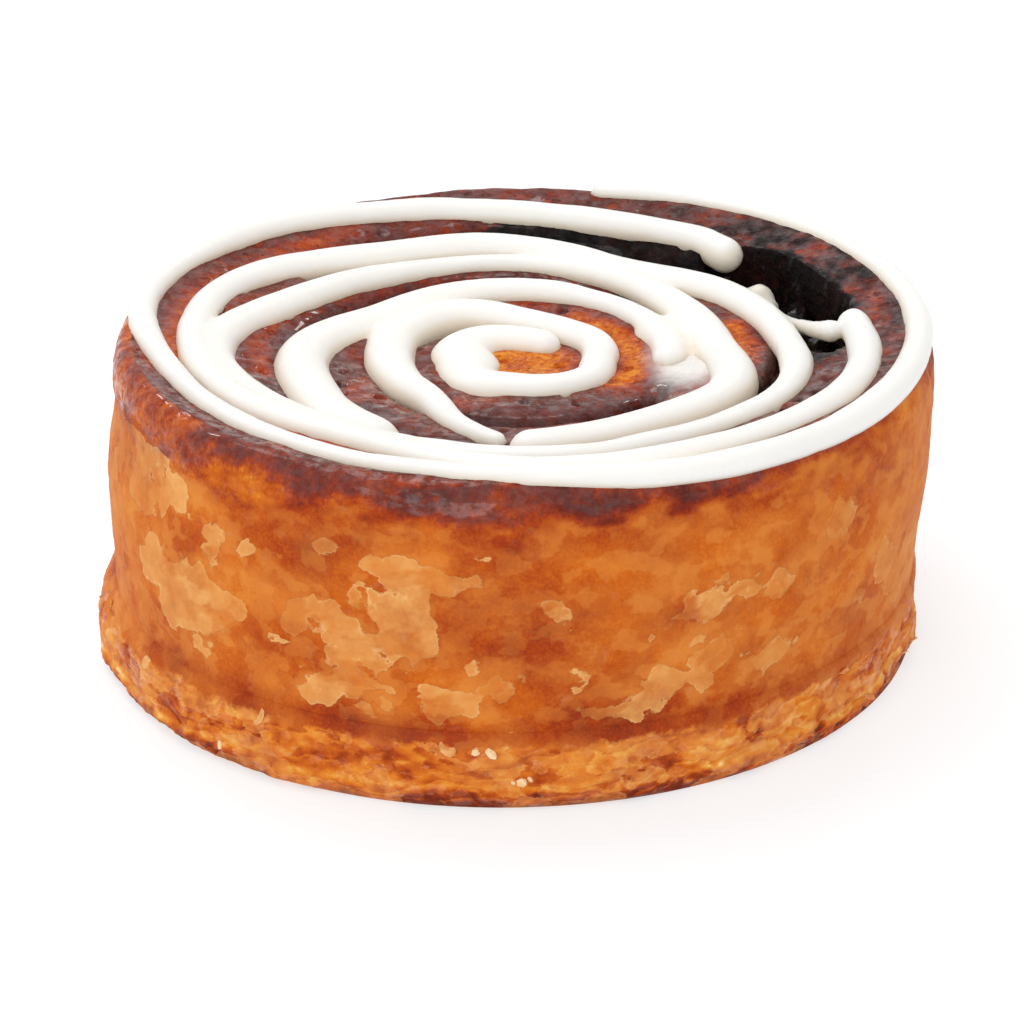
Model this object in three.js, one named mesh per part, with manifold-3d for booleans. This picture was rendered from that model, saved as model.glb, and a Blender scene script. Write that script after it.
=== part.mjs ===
import * as THREE from "three";
import { mergeVertices } from "three/addons/utils/BufferGeometryUtils.js";
import Module from "manifold-3d";

const wasm = await Module();
wasm.setup();

// Danish swirl baked in a ring, in millimetres, standing on its base with +Z up.
// Whole pastry
const HEIGHT = 40;
const WALL_RADIUS = 50.2;
const WALL_TAPER = 1.1;
const WALL_FULL_AT = 26;
const LEAN_AT_BASE = -0.45;
const LEAN_RISE = 1.4;
const SEGMENTS = 80;

// Foot of flaky dough that spread under the baking ring
const BASE_RADIUS = 49;
const FOOT_HEIGHT = 9;
const FOOT_RADIUS = 50.1;
const FOOT_LEFT_SWELL = 0.9;
const FOOT_RIGHT_TUCK = 0.5;
const FOOT_RUFFLE = 0.6;
const FOOT_LAYERS = 2;
const FOOT_LAYER_GROOVE = 0.35;
const RUFFLE_WAVES = [5, 9, 16, 23];
const RUFFLE_SHIFT = 1.9;
const RUFFLE_RISE = 0.35;
const CREASE_DEPTH = 0.35;
const CREASE_TALL = 1.2;
const FOOT_UNDERCUT = 1.5;
const FOOT_STEPS = 8;
const WALL_STEPS = 7;

// Rounded shoulder and dished top
const SHOULDER_WIDE = 3.6;
const SHOULDER_TALL = 6;
const CREST_RADIUS = WALL_RADIUS - SHOULDER_WIDE;
const DISH_DEPTH = 5.5;
const LEFT_SOFTNESS = 1.3;
const LEFT_SOFT_FROM = 24;

// Rolled dough: one seam winds inwards, clockwise from above
const SWIRL_X = 0.5;
const SEAM_START_DEG = 140;
const SEAM_START_RADIUS = 36.6;
const SEAM_PITCH = 11;
const SEAM_TURNS = 2.45;
const SEAM_STEPS_PER_TURN = 30;
const ROLL_SAG = 0.9;
const ROLL_FADE_RADIUS = 6;
const ROLL_FADE_WIDE = 7;
const ROLL_MARGIN = 1;

// Filling that shows along the seam
const FIT_GAP = 0.3;
const FILLING_THICK = 2.2;
const FILLING_FLOOR = 4;
const FILLING_RECESS = 1.4;

// Hollow where the roll has opened, with filling lying in it
const HOLLOW_RADIUS = 36.8;
const HOLLOW_FROM_DEG = 50;
const HOLLOW_TO_DEG = -8;
const HOLLOW_HALF_WIDE = 4.9;
const HOLLOW_DEEP = 9.5;
const HOLLOW_LIFT = 1;
const HOLLOW_RING = 12;
const HOLLOW_STEPS = 14;
const POOL_LEVEL = 32;
const LUMP_SIZE = 2.1;
const LUMPS = [
  { deg: 6, radius: 37.4, z: 32.6, scale: 1.05 },
  { deg: 17, radius: 35.0, z: 32.0, scale: 0.9 },
  { deg: 25, radius: 38.6, z: 31.8, scale: 1.0 },
];

// Pale blistered flakes that stand off the wall
const FLAKE_RISE = 0.45;
const FLAKE_EDGE = [0.7, 1.25];
const FLAKES = [
  { deg: 213, z: 29, wide: 9, tall: 11 },
  { deg: 218, z: 20, wide: 12, tall: 9 },
  { deg: 247, z: 20, wide: 15, tall: 7 },
  { deg: 254, z: 29, wide: 13, tall: 4 },
  { deg: 248, z: 13, wide: 11, tall: 5 },
  { deg: 263, z: 14, wide: 11, tall: 5 },
  { deg: 286, z: 13, wide: 10, tall: 5 },
  { deg: 295, z: 22.5, wide: 8, tall: 4 },
  { deg: 300, z: 16, wide: 9, tall: 5 },
  { deg: 308, z: 25, wide: 6, tall: 5 },
  { deg: 318, z: 30, wide: 5, tall: 6 },
];
const FLAKES_BEHIND = 16;
const BEHIND_FROM_DEG = 335;
const BEHIND_SPAN_DEG = 220;
const BEHIND_Z = [13, 30];
const BEHIND_WIDE = [7, 14];
const BEHIND_TALL = [4, 7];
const GOLDEN = 0.618034;

// Piped icing: centre-line radii every STROKE_STEP degrees, clockwise from the start,
// and widths every WIDE_STEP degrees
const STROKE_STEP = 30;
const WIDE_STEP = 90;
const ICING_TALL = 1.9;
const ICING_SIDE = 0.6;
const ICING_SUNK = 1.5;
const ICING_HANG = 1.2;
const ICING_BLUNT = 0.3;
const ICING_STATION = 5;
const ICING_TURN_LIMIT = 16;
const ICING_LENGTH_DEG = 300;
const DOME_SIDES = 4;
const UNDER_SEGMENTS = 48;
const STROKES = [
  {
    start: 76,
    radii: [46.5, 48, 48.5, 48.5, 48.5, 47.5, 44.5, 42.5, 42.5, 46.5, 46, 42.5, 39.5, 39],
    wides: [2.5, 3.5, 3, 3.5, 4, 4],
  },
  {
    start: 2,
    radii: [41, 44, 44, 43.5, 36, 37.5, 39, 39, 34, 32.5, 28.5, 30.5, 32.5, 36,
      36, 37, 34.5, 35, 36.5, 31.5, 29, 28.5, 26.5, 24.5, 24.5, 28.5, 28, 30],
    wides: [4, 4.5, 4, 4.5, 4, 3.5, 5, 3, 5.5, 4.5],
  },
  {
    start: 236,
    radii: [31, 27, 25.5, 21, 21, 21, 20, 19, 18.5],
    wides: [8, 5.5, 3.5, 4.5],
  },
  {
    start: 265,
    radii: [27.5, 17, 15, 15.5, 17, 16.5, 12.5, 11, 11, 10, 10.5, 9.5, 8, 8, 6.5, 6, 8, 8, 7, 6.5],
    wides: [2.5, 6, 4.5, 4.5, 5, 9, 4.5, 4.5],
  },
];

// Loose drop of icing that lies on the filling in the hollow
const DROP_RADIUS = 2.4;
const DROP_FLAT = 0.72;
const DROP_AT = { deg: 35, radius: 37.5 };

const rad = THREE.MathUtils.degToRad;
const lerp = THREE.MathUtils.lerp;
const smooth = THREE.MathUtils.smoothstep;

function leanAt(z) {
  return LEAN_AT_BASE + LEAN_RISE * z / HEIGHT;
}

function polar(deg, radius, z) {
  return [SWIRL_X + radius * Math.cos(rad(deg)), radius * Math.sin(rad(deg)), z];
}

// Height of the smooth top at a distance from its centre
function topAt(radius) {
  const inside = Math.min(radius, CREST_RADIUS);
  const dish = HEIGHT - DISH_DEPTH * (1 - (inside / CREST_RADIUS) ** 2);
  const over = Math.min(1, Math.max(0, (radius - CREST_RADIUS) / SHOULDER_WIDE));
  return dish - SHOULDER_TALL * (1 - Math.sqrt(1 - over * over));
}

function topUnder(x, y) {
  return topAt(Math.hypot(x - leanAt(HEIGHT), y));
}

function wallRadius(z) {
  return WALL_RADIUS - WALL_TAPER * (1 - smooth(z, FOOT_HEIGHT, WALL_FULL_AT));
}

function seamRadius(turns) {
  return SEAM_START_RADIUS - SEAM_PITCH * turns;
}

// A closed body from a grid of faces, as a solid that can be joined and cut
function toSolid(geometry) {
  geometry.deleteAttribute("normal");
  geometry.deleteAttribute("uv");
  const merged = mergeVertices(geometry, 1e-4);
  const corners = merged.index.array;
  const kept = [];
  for (let i = 0; i < corners.length; i += 3) {
    const [a, b, c] = [corners[i], corners[i + 1], corners[i + 2]];
    if (a !== b && b !== c && c !== a) {
      kept.push(a, b, c);
    }
  }
  const place = merged.attributes.position;
  const corner = (i) => new THREE.Vector3().fromBufferAttribute(place, kept[i]);
  let volume = 0;
  for (let i = 0; i < kept.length; i += 3) {
    volume += corner(i).dot(corner(i + 1).cross(corner(i + 2)));
  }
  const mesh = new wasm.Mesh({
    numProp: 3,
    vertProperties: new Float32Array(place.array),
    triVerts: new Uint32Array(volume < 0 ? kept.reverse() : kept),
  });
  return new wasm.Manifold(mesh);
}

// A closed body through matching rings of points, with flat ends
function loft(rings) {
  const count = rings[0].length;
  const index = [];
  for (let i = 0; i + 1 < rings.length; i += 1) {
    for (let j = 0; j < count; j += 1) {
      const a = i * count + j;
      const b = i * count + (j + 1) % count;
      index.push(a, b, b + count, a, b + count, a + count);
    }
  }
  const last = (rings.length - 1) * count;
  for (let j = 1; j + 1 < count; j += 1) {
    index.push(0, j + 1, j);
    index.push(last, last + j, last + j + 1);
  }
  const geometry = new THREE.BufferGeometry();
  const positions = new Float32Array(rings.flat(2));
  geometry.setAttribute("position", new THREE.BufferAttribute(positions, 3));
  geometry.setIndex(index);
  return toSolid(geometry);
}

// A body of revolution whose points are then moved by a relief rule
function turned(profile, segments, relief) {
  const geometry = new THREE.LatheGeometry(profile.map(([r, z]) => new THREE.Vector2(r, z)), segments);
  geometry.rotateX(Math.PI / 2);
  geometry.rotateZ(Math.PI);
  const position = geometry.attributes.position;
  for (let i = 0; i < position.count; i += 1) {
    const moved = relief(position.getX(i), position.getY(i), position.getZ(i));
    position.setXYZ(i, ...moved);
  }
  return toSolid(geometry);
}

function dishStations(steps) {
  const points = [];
  for (let i = 1; i < steps; i += 1) {
    const radius = CREST_RADIUS * (1 - i / steps);
    points.push([radius, topAt(radius)]);
  }
  points.push([0, topAt(0)]);
  return points;
}

function shoulderStations(steps) {
  const points = [];
  for (let i = 0; i <= steps; i += 1) {
    const t = Math.PI / 2 * i / steps;
    const radius = CREST_RADIUS + SHOULDER_WIDE * Math.cos(t);
    points.push([radius, HEIGHT - SHOULDER_TALL * (1 - Math.sin(t))]);
  }
  return points;
}

function bodyProfile() {
  const points = [[0, 0], [BASE_RADIUS, 0]];
  for (let i = 1; i < FOOT_STEPS; i += 1) {
    const t = Math.PI * (i / FOOT_STEPS - 0.5);
    const radius = BASE_RADIUS + (FOOT_RADIUS - BASE_RADIUS) * Math.cos(t);
    points.push([radius, FOOT_HEIGHT / 2 * (1 + Math.sin(t))]);
  }
  points.push([wallRadius(FOOT_HEIGHT) - CREASE_DEPTH, FOOT_HEIGHT]);
  const wallTop = HEIGHT - SHOULDER_TALL;
  for (let i = 0; i < WALL_STEPS; i += 1) {
    const z = lerp(FOOT_HEIGHT + CREASE_TALL, wallTop, i / WALL_STEPS);
    points.push([wallRadius(z), z]);
  }
  return [...points, ...shoulderStations(4), ...dishStations(13)];
}

// Uneven edge of the foot, and the grooves between its layers of dough
function ruffle(angle, z) {
  const phase = (i) => i * RUFFLE_SHIFT + z * RUFFLE_RISE;
  const sum = RUFFLE_WAVES.reduce((all, waves, i) => all + Math.sin(waves * angle + phase(i)), 0);
  const groove = 0.5 - 0.5 * Math.cos(2 * Math.PI * FOOT_LAYERS * z / FOOT_HEIGHT);
  return FOOT_RUFFLE * sum / RUFFLE_WAVES.length - FOOT_LAYER_GROOVE * (1 - groove);
}

function allFlakes() {
  const behind = [];
  for (let i = 0; i < FLAKES_BEHIND; i += 1) {
    const spread = (i * GOLDEN) % 1;
    behind.push({
      deg: BEHIND_FROM_DEG + BEHIND_SPAN_DEG * (i + 0.5) / FLAKES_BEHIND,
      z: lerp(...BEHIND_Z, spread),
      wide: lerp(...BEHIND_WIDE, (spread * 3) % 1),
      tall: lerp(...BEHIND_TALL, (spread * 5) % 1),
    });
  }
  return [...FLAKES, ...behind];
}

const flakes = allFlakes();

function flakeCover(angle, z) {
  let cover = 0;
  for (const flake of flakes) {
    const turn = Math.atan2(Math.sin(angle - rad(flake.deg)), Math.cos(angle - rad(flake.deg)));
    const across = turn * WALL_RADIUS / (flake.wide / 2);
    const up = (z - flake.z) / (flake.tall / 2);
    cover = Math.max(cover, 1 - smooth(Math.hypot(across, up), ...FLAKE_EDGE));
  }
  return cover;
}

// How far a point of the top lies between two turns of the seam: 0 on a seam, 1 halfway
function rollCrown(x, y) {
  const radius = Math.hypot(x - SWIRL_X, y);
  const deg = THREE.MathUtils.radToDeg(Math.atan2(y, x - SWIRL_X));
  const turns = (SEAM_START_DEG - deg) / 360;
  const phase = (seamRadius(turns) - radius) / SEAM_PITCH;
  const beside = phase - Math.floor(phase);
  return 1 - Math.abs(2 * beside - 1);
}

function doughRelief(x, y, z) {
  const radius = Math.hypot(x, y);
  if (radius < 1e-6) {
    return [leanAt(z), 0, z];
  }
  const angle = Math.atan2(y, x);
  const lean = leanAt(z);
  const rollEdge = CREST_RADIUS - ROLL_MARGIN;
  if (radius < rollEdge && z > HEIGHT / 2) {
    const outer = 1 - smooth(radius, rollEdge - ROLL_FADE_WIDE, rollEdge);
    const fade = smooth(radius, 0, ROLL_FADE_RADIUS) * outer;
    const sag = ROLL_SAG * fade * (1 - rollCrown(x + lean, y)) ** 2;
    return [x + lean, y, z - sag];
  }
  const onFoot = smooth(z, 0, FOOT_UNDERCUT) * (1 - smooth(z, FOOT_HEIGHT - 1, FOOT_HEIGHT));
  const left = Math.max(0, -Math.cos(angle)) ** 2;
  const right = Math.max(0, Math.cos(angle)) ** 2;
  const swell = FOOT_LEFT_SWELL * left - FOOT_RIGHT_TUCK * right;
  const high = smooth(z, LEFT_SOFT_FROM, HEIGHT - SHOULDER_TALL);
  const soft = LEFT_SOFTNESS * left * high * (1 - smooth(z, HEIGHT - SHOULDER_TALL / 2, HEIGHT));
  const onWall = z > FOOT_HEIGHT && z < HEIGHT - SHOULDER_TALL ? 1 : 0;
  const out = onFoot * (ruffle(angle, z) + swell) + onWall * FLAKE_RISE * flakeCover(angle, z) - soft;
  const scale = (radius + out) / radius;
  return [x * scale + lean, y * scale, z];
}

// A wall that follows the seam, between two levels
function seamWall(thick, floor, topOf, extraTurns) {
  const rings = [];
  const steps = Math.round((SEAM_TURNS + 2 * extraTurns) * SEAM_STEPS_PER_TURN);
  for (let i = 0; i <= steps; i += 1) {
    const turns = lerp(-extraTurns, SEAM_TURNS + extraTurns, i / steps);
    const deg = SEAM_START_DEG - 360 * turns;
    const radius = seamRadius(turns);
    const crest = topOf(radius);
    rings.push([
      polar(deg, radius + thick / 2, floor),
      polar(deg, radius + thick / 2, crest),
      polar(deg, radius - thick / 2, crest),
      polar(deg, radius - thick / 2, floor),
    ]);
  }
  return loft(rings);
}

// The hollow, shrunk by a clearance on every side
function hollowBody(clearance) {
  const rings = [];
  for (let i = 0; i <= HOLLOW_STEPS; i += 1) {
    const along = lerp(-1, 1, i / HOLLOW_STEPS);
    const end = Math.sqrt(Math.max(0.02, 1 - Math.abs(along) ** 3));
    const deg = lerp(HOLLOW_FROM_DEG, HOLLOW_TO_DEG, i / HOLLOW_STEPS) - clearance * along;
    const wide = HOLLOW_HALF_WIDE * end - clearance;
    const deep = (HOLLOW_DEEP + HOLLOW_LIFT) * end - clearance;
    const ring = [];
    for (let j = 0; j < HOLLOW_RING; j += 1) {
      const t = -2 * Math.PI * j / HOLLOW_RING;
      const mid = topAt(HOLLOW_RADIUS) + HOLLOW_LIFT;
      ring.push(polar(deg, HOLLOW_RADIUS + wide * Math.cos(t), mid + deep * Math.sin(t)));
    }
    rings.push(ring);
  }
  return loft(rings);
}

function blob(radius, flat, deg, at, z) {
  const geometry = new THREE.IcosahedronGeometry(radius, 2);
  geometry.scale(1, 1, flat);
  geometry.translate(...polar(deg, at, z));
  return toSolid(geometry);
}

function buildDough() {
  const body = turned(bodyProfile(), SEGMENTS, doughRelief);
  const slot = seamWall(FILLING_THICK + 2 * FIT_GAP, FILLING_FLOOR - FIT_GAP, () => HEIGHT + 1, 0.01);
  return body.subtract(slot).subtract(hollowBody(0));
}

function buildFilling() {
  const crest = (radius) => topAt(radius) - ROLL_SAG - FILLING_RECESS;
  const wall = seamWall(FILLING_THICK, FILLING_FLOOR, crest, 0);
  const level = new THREE.CylinderGeometry(WALL_RADIUS, WALL_RADIUS, HEIGHT, SEGMENTS);
  level.rotateX(Math.PI / 2);
  level.translate(0, 0, POOL_LEVEL - HEIGHT / 2);
  const room = hollowBody(FIT_GAP);
  const lumps = LUMPS.map((lump) => blob(LUMP_SIZE * lump.scale, 1, lump.deg, lump.radius, lump.z));
  const pool = room.intersect(wasm.Manifold.union([toSolid(level), ...lumps]));
  const open = room.subtract(toSolid(level.clone()));
  return wall.subtract(open).add(pool);
}

// Radius or width of a piped line at a place along it, on a smooth curve through the given sizes
function strokeSize(sizes, t) {
  const i = Math.min(sizes.length - 2, Math.floor(t));
  const f = t - i;
  const b = sizes[i];
  const c = sizes[i + 1];
  const a = i > 0 ? sizes[i - 1] : 2 * b - c;
  const d = i + 2 < sizes.length ? sizes[i + 2] : 2 * c - b;
  const bend = (2 * a - 5 * b + 4 * c - d) * f * f + (3 * b - a - 3 * c + d) * f * f * f;
  return b + 0.5 * ((c - a) * f + bend);
}

// Places along a piped line, close together where it turns tightly
function strokeStations(stroke) {
  const stations = [];
  const end = stroke.radii.length - 1;
  let t = 0;
  while (t < end) {
    stations.push(t);
    const radius = strokeSize(stroke.radii, t);
    const turn = Math.min(ICING_TURN_LIMIT, THREE.MathUtils.radToDeg(ICING_STATION / radius));
    t += turn / STROKE_STEP;
  }
  stations.push(end);
  return stations;
}

// Cross-section of a piped line: a dome on two short upright sides
function strokeRing(stroke, t) {
  const deg = stroke.start - STROKE_STEP * t;
  const radius = strokeSize(stroke.radii, t);
  const wide = strokeSize(stroke.wides, t * STROKE_STEP / WIDE_STEP);
  const fromEnd = rad(STROKE_STEP * Math.min(t, stroke.radii.length - 1 - t)) * radius;
  const round = Math.sqrt(1 - (1 - Math.min(1, (fromEnd + ICING_BLUNT) / (wide / 2))) ** 2);
  const [midX, midY] = polar(deg, radius, 0);
  const lowest = topUnder(midX, midY) - ICING_HANG;
  const bed = (x, y) => Math.max(topUnder(x, y), lowest);
  const ring = [];
  for (let j = 0; j <= DOME_SIDES; j += 1) {
    const a = Math.PI * j / DOME_SIDES;
    const [x, y] = polar(deg, radius + wide / 2 * round * Math.cos(a), 0);
    const rise = (ICING_TALL - ICING_SIDE) * round * Math.sin(a);
    ring.push([x, y, bed(x, y) + FIT_GAP + ICING_SIDE + rise]);
  }
  for (const across of [-1, 1]) {
    const [x, y] = polar(deg, radius + across * wide / 2 * round, 0);
    ring.push([x, y, bed(x, y) - ICING_SUNK]);
  }
  return ring;
}

// A piped line, as lengths of less than a turn, so that no length runs over itself
function strokeSolids(stroke) {
  const lengths = [];
  let rings = [];
  let begun = 0;
  for (const t of strokeStations(stroke)) {
    const ring = strokeRing(stroke, t);
    rings.push(ring);
    if ((t - begun) * STROKE_STEP > ICING_LENGTH_DEG) {
      lengths.push(loft(rings));
      rings = [ring];
      begun = t;
    }
  }
  return [...lengths, loft(rings)];
}

function buildIcing() {
  const lines = wasm.Manifold.union(STROKES.flatMap(strokeSolids));
  const shape = [[0, HEIGHT / 2], ...shoulderStations(5), ...dishStations(6)];
  const grow = 1 + FIT_GAP / WALL_RADIUS;
  const clear = (x, y, z) => [x * grow + leanAt(HEIGHT), y * grow, z > HEIGHT / 2 ? z + FIT_GAP : z];
  return lines.subtract(turned(shape, UNDER_SEGMENTS, clear));
}

function buildDrop() {
  const rest = POOL_LEVEL + FIT_GAP + DROP_RADIUS * DROP_FLAT;
  return blob(DROP_RADIUS, DROP_FLAT, DROP_AT.deg, DROP_AT.radius, rest);
}

function toMesh(name, solid, colour, roughness) {
  const mesh = solid.getMesh();
  const geometry = new THREE.BufferGeometry();
  geometry.setAttribute("position", new THREE.BufferAttribute(new Float32Array(mesh.vertProperties), 3));
  geometry.setIndex(Array.from(mesh.triVerts));
  geometry.computeVertexNormals();
  const part = new THREE.Mesh(geometry, new THREE.MeshStandardMaterial({ color: colour, roughness }));
  part.name = name;
  return part;
}

const danish = new THREE.Group();
danish.name = "danish_swirl";
danish.add(toMesh("dough", buildDough(), 0xc26a2b, 0.45));
danish.add(toMesh("filling", buildFilling(), 0x1c0b08, 0.2));
danish.add(toMesh("icing", buildIcing(), 0xf6f0e2, 0.5));
danish.add(toMesh("icing_drop", buildDrop(), 0xf6f0e2, 0.5));

export default danish;
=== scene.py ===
"""A danish swirl baked in a ring: flaky foot, glazed wall, dished rolled top, dark filling, piped icing."""

import logging
import math
from dataclasses import dataclass, field
from enum import Enum, IntEnum

import bmesh
import bpy
import numpy as np
from mathutils import Matrix, Vector


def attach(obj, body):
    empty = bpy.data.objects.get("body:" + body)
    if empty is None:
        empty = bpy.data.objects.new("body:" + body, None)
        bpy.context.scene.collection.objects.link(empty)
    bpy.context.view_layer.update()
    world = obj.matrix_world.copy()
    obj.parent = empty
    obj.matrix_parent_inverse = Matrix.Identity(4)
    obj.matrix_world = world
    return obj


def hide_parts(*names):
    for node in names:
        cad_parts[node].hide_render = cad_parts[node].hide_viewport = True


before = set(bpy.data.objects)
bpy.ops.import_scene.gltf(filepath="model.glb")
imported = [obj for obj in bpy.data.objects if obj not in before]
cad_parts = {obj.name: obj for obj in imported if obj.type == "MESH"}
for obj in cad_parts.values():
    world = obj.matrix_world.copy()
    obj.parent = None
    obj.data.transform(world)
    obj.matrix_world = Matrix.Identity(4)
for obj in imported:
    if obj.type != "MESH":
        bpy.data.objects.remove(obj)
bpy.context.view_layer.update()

MM = 0.001
BODY = "root"
LOG = logging.getLogger("danish_swirl")

Array = np.ndarray
Colour = tuple[float, float, float]
Triple = tuple[float, float, float]
Pair = tuple[float, float]
Piece = bpy.types.Object
Socket = bpy.types.NodeSocket
Tree = bpy.types.NodeTree


def ease(value: Array | float, low: float, high: float) -> Array:
    """Smooth step from 0 at low to 1 at high.

    Args:
        value: Numbers to map.
        low: Where the step starts.
        high: Where the step ends.

    Returns:
        Numbers between 0 and 1.
    """
    t = np.clip((np.asarray(value, float) - low) / (high - low), 0.0, 1.0)
    return t * t * (3.0 - 2.0 * t)


def bell(value: Array | float, wide: Array | float) -> Array:
    """A soft bump of height 1 at 0 that dies away over the given width."""
    return np.exp(-((np.asarray(value, float) / wide) ** 2))


def srgb(red: int, green: int, blue: int) -> Colour:
    """A display colour as linear light."""
    shares = (channel / 255.0 for channel in (red, green, blue))
    return tuple(c / 12.92 if c <= 0.04045 else ((c + 0.055) / 1.055) ** 2.4 for c in shares)


class Grain:
    """Seeded smooth noise in space, for the uneven forms of baked dough."""

    CELLS = 32
    LAYER_SHIFT = 7.3

    def __init__(self, seed: int) -> None:
        """Fill the table of random values from the seed."""
        self.table = np.random.default_rng(seed).uniform(-1.0, 1.0, (self.CELLS,) * 3)

    def at(self, points: Array, scale: float | Triple) -> Array:
        """Noise between -1 and 1.

        Args:
            points: Places in millimetres, with x, y, z last.
            scale: Size of one lump in millimetres, or a size for each axis.

        Returns:
            One value for each place.
        """
        q = points / np.asarray(scale, float)
        low = np.floor(q).astype(int)
        f = q - low
        f = f * f * (3.0 - 2.0 * f)
        total = np.zeros(points.shape[:-1])
        for corner in np.ndindex(2, 2, 2):
            weight = np.ones(points.shape[:-1])
            for axis, side in enumerate(corner):
                weight = weight * (f[..., axis] if side else 1.0 - f[..., axis])
            cell = [(low[..., axis] + side) % self.CELLS for axis, side in enumerate(corner)]
            total += weight * self.table[cell[0], cell[1], cell[2]]
        return total

    def layered(self, points: Array, scale: float | Triple, octaves: int = 3) -> Array:
        """Noise with finer noise laid on it, each layer half as strong and half as large."""
        size = np.asarray(scale, float)
        return sum(self.at(points + self.LAYER_SHIFT * i, size / 2**i) * 0.5**i for i in range(octaves))


@dataclass(frozen=True)
class PastrySizes:
    """Driving sizes of the whole pastry, in millimetres and degrees."""

    height: float = 40.0
    wall_radius: float = 50.2
    wall_taper: float = 1.1
    wall_full_at: float = 26.0
    lean_at_base: float = -0.45
    lean_rise: float = 1.4
    base_radius: float = 49.0
    foot_height: float = 9.0
    foot_radius: float = 50.1
    foot_left_swell: float = 0.9
    foot_right_tuck: float = 0.5
    shoulder_wide: float = 3.6
    shoulder_tall: float = 6.0
    dish_depth: float = 5.5
    left_softness: float = 1.3
    left_soft_from: float = 24.0
    swirl_x: float = 0.5
    seam_start_deg: float = 140.0
    seam_start_radius: float = 36.6
    seam_pitch: float = 11.0
    seam_turns: float = 2.45
    roll_sag: float = 0.9
    hollow_radius: float = 36.8
    hollow_from_deg: float = 50.0
    hollow_to_deg: float = -8.0
    hollow_half_wide: float = 4.9
    hollow_deep: float = 9.5
    pool_level: float = 32.0

    @property
    def crest_radius(self) -> float:
        """Radius of the highest ring of the rim."""
        return self.wall_radius - self.shoulder_wide

    def lean(self, z: Array | float) -> Array | float:
        """Sideways shift of the pastry at a height."""
        return self.lean_at_base + self.lean_rise * z / self.height

    def wall(self, z: Array | float) -> Array:
        """Radius of the wall at a height."""
        return self.wall_radius - self.wall_taper * (1.0 - ease(z, self.foot_height, self.wall_full_at))

    def left_soft(self, angle: Array, z: Array) -> Array:
        """How far the soft shoulder of the left side draws in.

        Args:
            angle: Angle of each point.
            z: Height of each point.

        Returns:
            Millimetres inwards.
        """
        high = ease(z, self.left_soft_from, self.height - self.shoulder_tall)
        crest = ease(z, self.height - self.shoulder_tall / 2, self.height)
        return self.left_softness * np.maximum(0.0, -np.cos(angle)) ** 2 * high * (1.0 - crest)

    def top(self, radius: Array | float) -> Array:
        """Height of the smooth dished top.

        Args:
            radius: Distance from the centre of the top.

        Returns:
            Height above the floor.
        """
        radius = np.asarray(radius, float)
        inside = np.minimum(radius, self.crest_radius)
        over = np.clip((radius - self.crest_radius) / self.shoulder_wide, 0.0, 1.0)
        dish = self.height - self.dish_depth * (1.0 - (inside / self.crest_radius) ** 2)
        return dish - self.shoulder_tall * (1.0 - np.sqrt(1.0 - over**2))

    def top_under(self, x: Array, y: Array) -> Array:
        """Height of the smooth top at a place in plan."""
        return self.top(np.hypot(x - self.lean(self.height), y))

    def polar(self, deg: Array | float, radius: Array | float) -> tuple[Array, Array]:
        """Place in plan at an angle and a distance from the middle of the swirl."""
        a = np.radians(deg)
        return self.swirl_x + radius * np.cos(a), radius * np.sin(a)

    def swirl(self, x: Array, y: Array) -> tuple[Array, Array]:
        """Angle in degrees and distance of a place in plan, from the middle of the swirl."""
        return np.degrees(np.arctan2(y, x - self.swirl_x)), np.hypot(x - self.swirl_x, y)

    def seam_radius(self, turns: Array | float) -> Array | float:
        """Distance of the seam from the middle of the swirl, after some turns."""
        return self.seam_start_radius - self.seam_pitch * turns

    def hollow(self, x: Array, y: Array) -> Array:
        """How far inside the opened hollow a place in plan is.

        Args:
            x: Place to the right.
            y: Place to the back.

        Returns:
            1 in the hollow's middle, 0 on its edge, less outside.
        """
        deg, radius = self.swirl(x, y)
        middle = 0.5 * (self.hollow_from_deg + self.hollow_to_deg)
        along = np.abs((deg - middle) / (self.hollow_from_deg - middle))
        across = np.abs(radius - self.hollow_radius) / self.hollow_half_wide
        inside = 1.0 - across**2 - along**3
        return np.where(inside > 0.0, np.sqrt(np.maximum(inside, 0.0)), inside)


SIZES = PastrySizes()


@dataclass(frozen=True)
class Flake:
    """A pale blistered patch of the wall."""

    deg: float
    z: float
    wide: float
    tall: float
    pale: float = 1.0


FRONT_FLAKES = (
    Flake(204, 31.5, 12, 15, 0.8), Flake(214, 32.0, 7, 10), Flake(216, 22.6, 21, 10),
    Flake(222, 16.6, 20, 8.5), Flake(225, 27.3, 3.5, 3), Flake(254, 29.4, 14.2, 4.6),
    Flake(244, 22.0, 11, 6), Flake(257, 23.5, 9.9, 8.6), Flake(247, 17.4, 6.6, 5.7),
    Flake(247, 13.8, 12, 4.1), Flake(261, 14.4, 10.3, 6.6), Flake(268, 15.4, 4.8, 5.3, 0.6),
    Flake(275, 25.1, 3.7, 3.3), Flake(286, 12.9, 10.8, 5.3), Flake(295, 22.9, 7.6, 5),
    Flake(307, 25.1, 6.6, 4.8), Flake(298, 15.7, 9.3, 6.6, 0.8), Flake(307, 13.9, 6, 5.1, 0.8),
    Flake(318, 29.8, 5.6, 5.1, 0.7), Flake(301, 24.7, 4.1, 2.4),
)


def flakes_behind(count: int = 26, seed: int = 5, first: float = 328.0, sweep: float = 228.0) -> list[Flake]:
    """Flakes of the sides and back, spread evenly with seeded sizes.

    Args:
        count: How many there are.
        seed: Seed of their sizes and heights.
        first: Angle where they start, in degrees.
        sweep: How far round they go, in degrees.

    Returns:
        The flakes.
    """
    rng = np.random.default_rng(seed)
    found = []
    for i in range(count):
        deg = first + sweep * (i + rng.uniform(0.2, 0.8)) / count
        size = rng.uniform(5.0, 15.0), rng.uniform(3.5, 8.0)
        found.append(Flake(deg, rng.uniform(12.5, 31.0), *size, rng.uniform(0.6, 1.0)))
    return found


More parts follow.
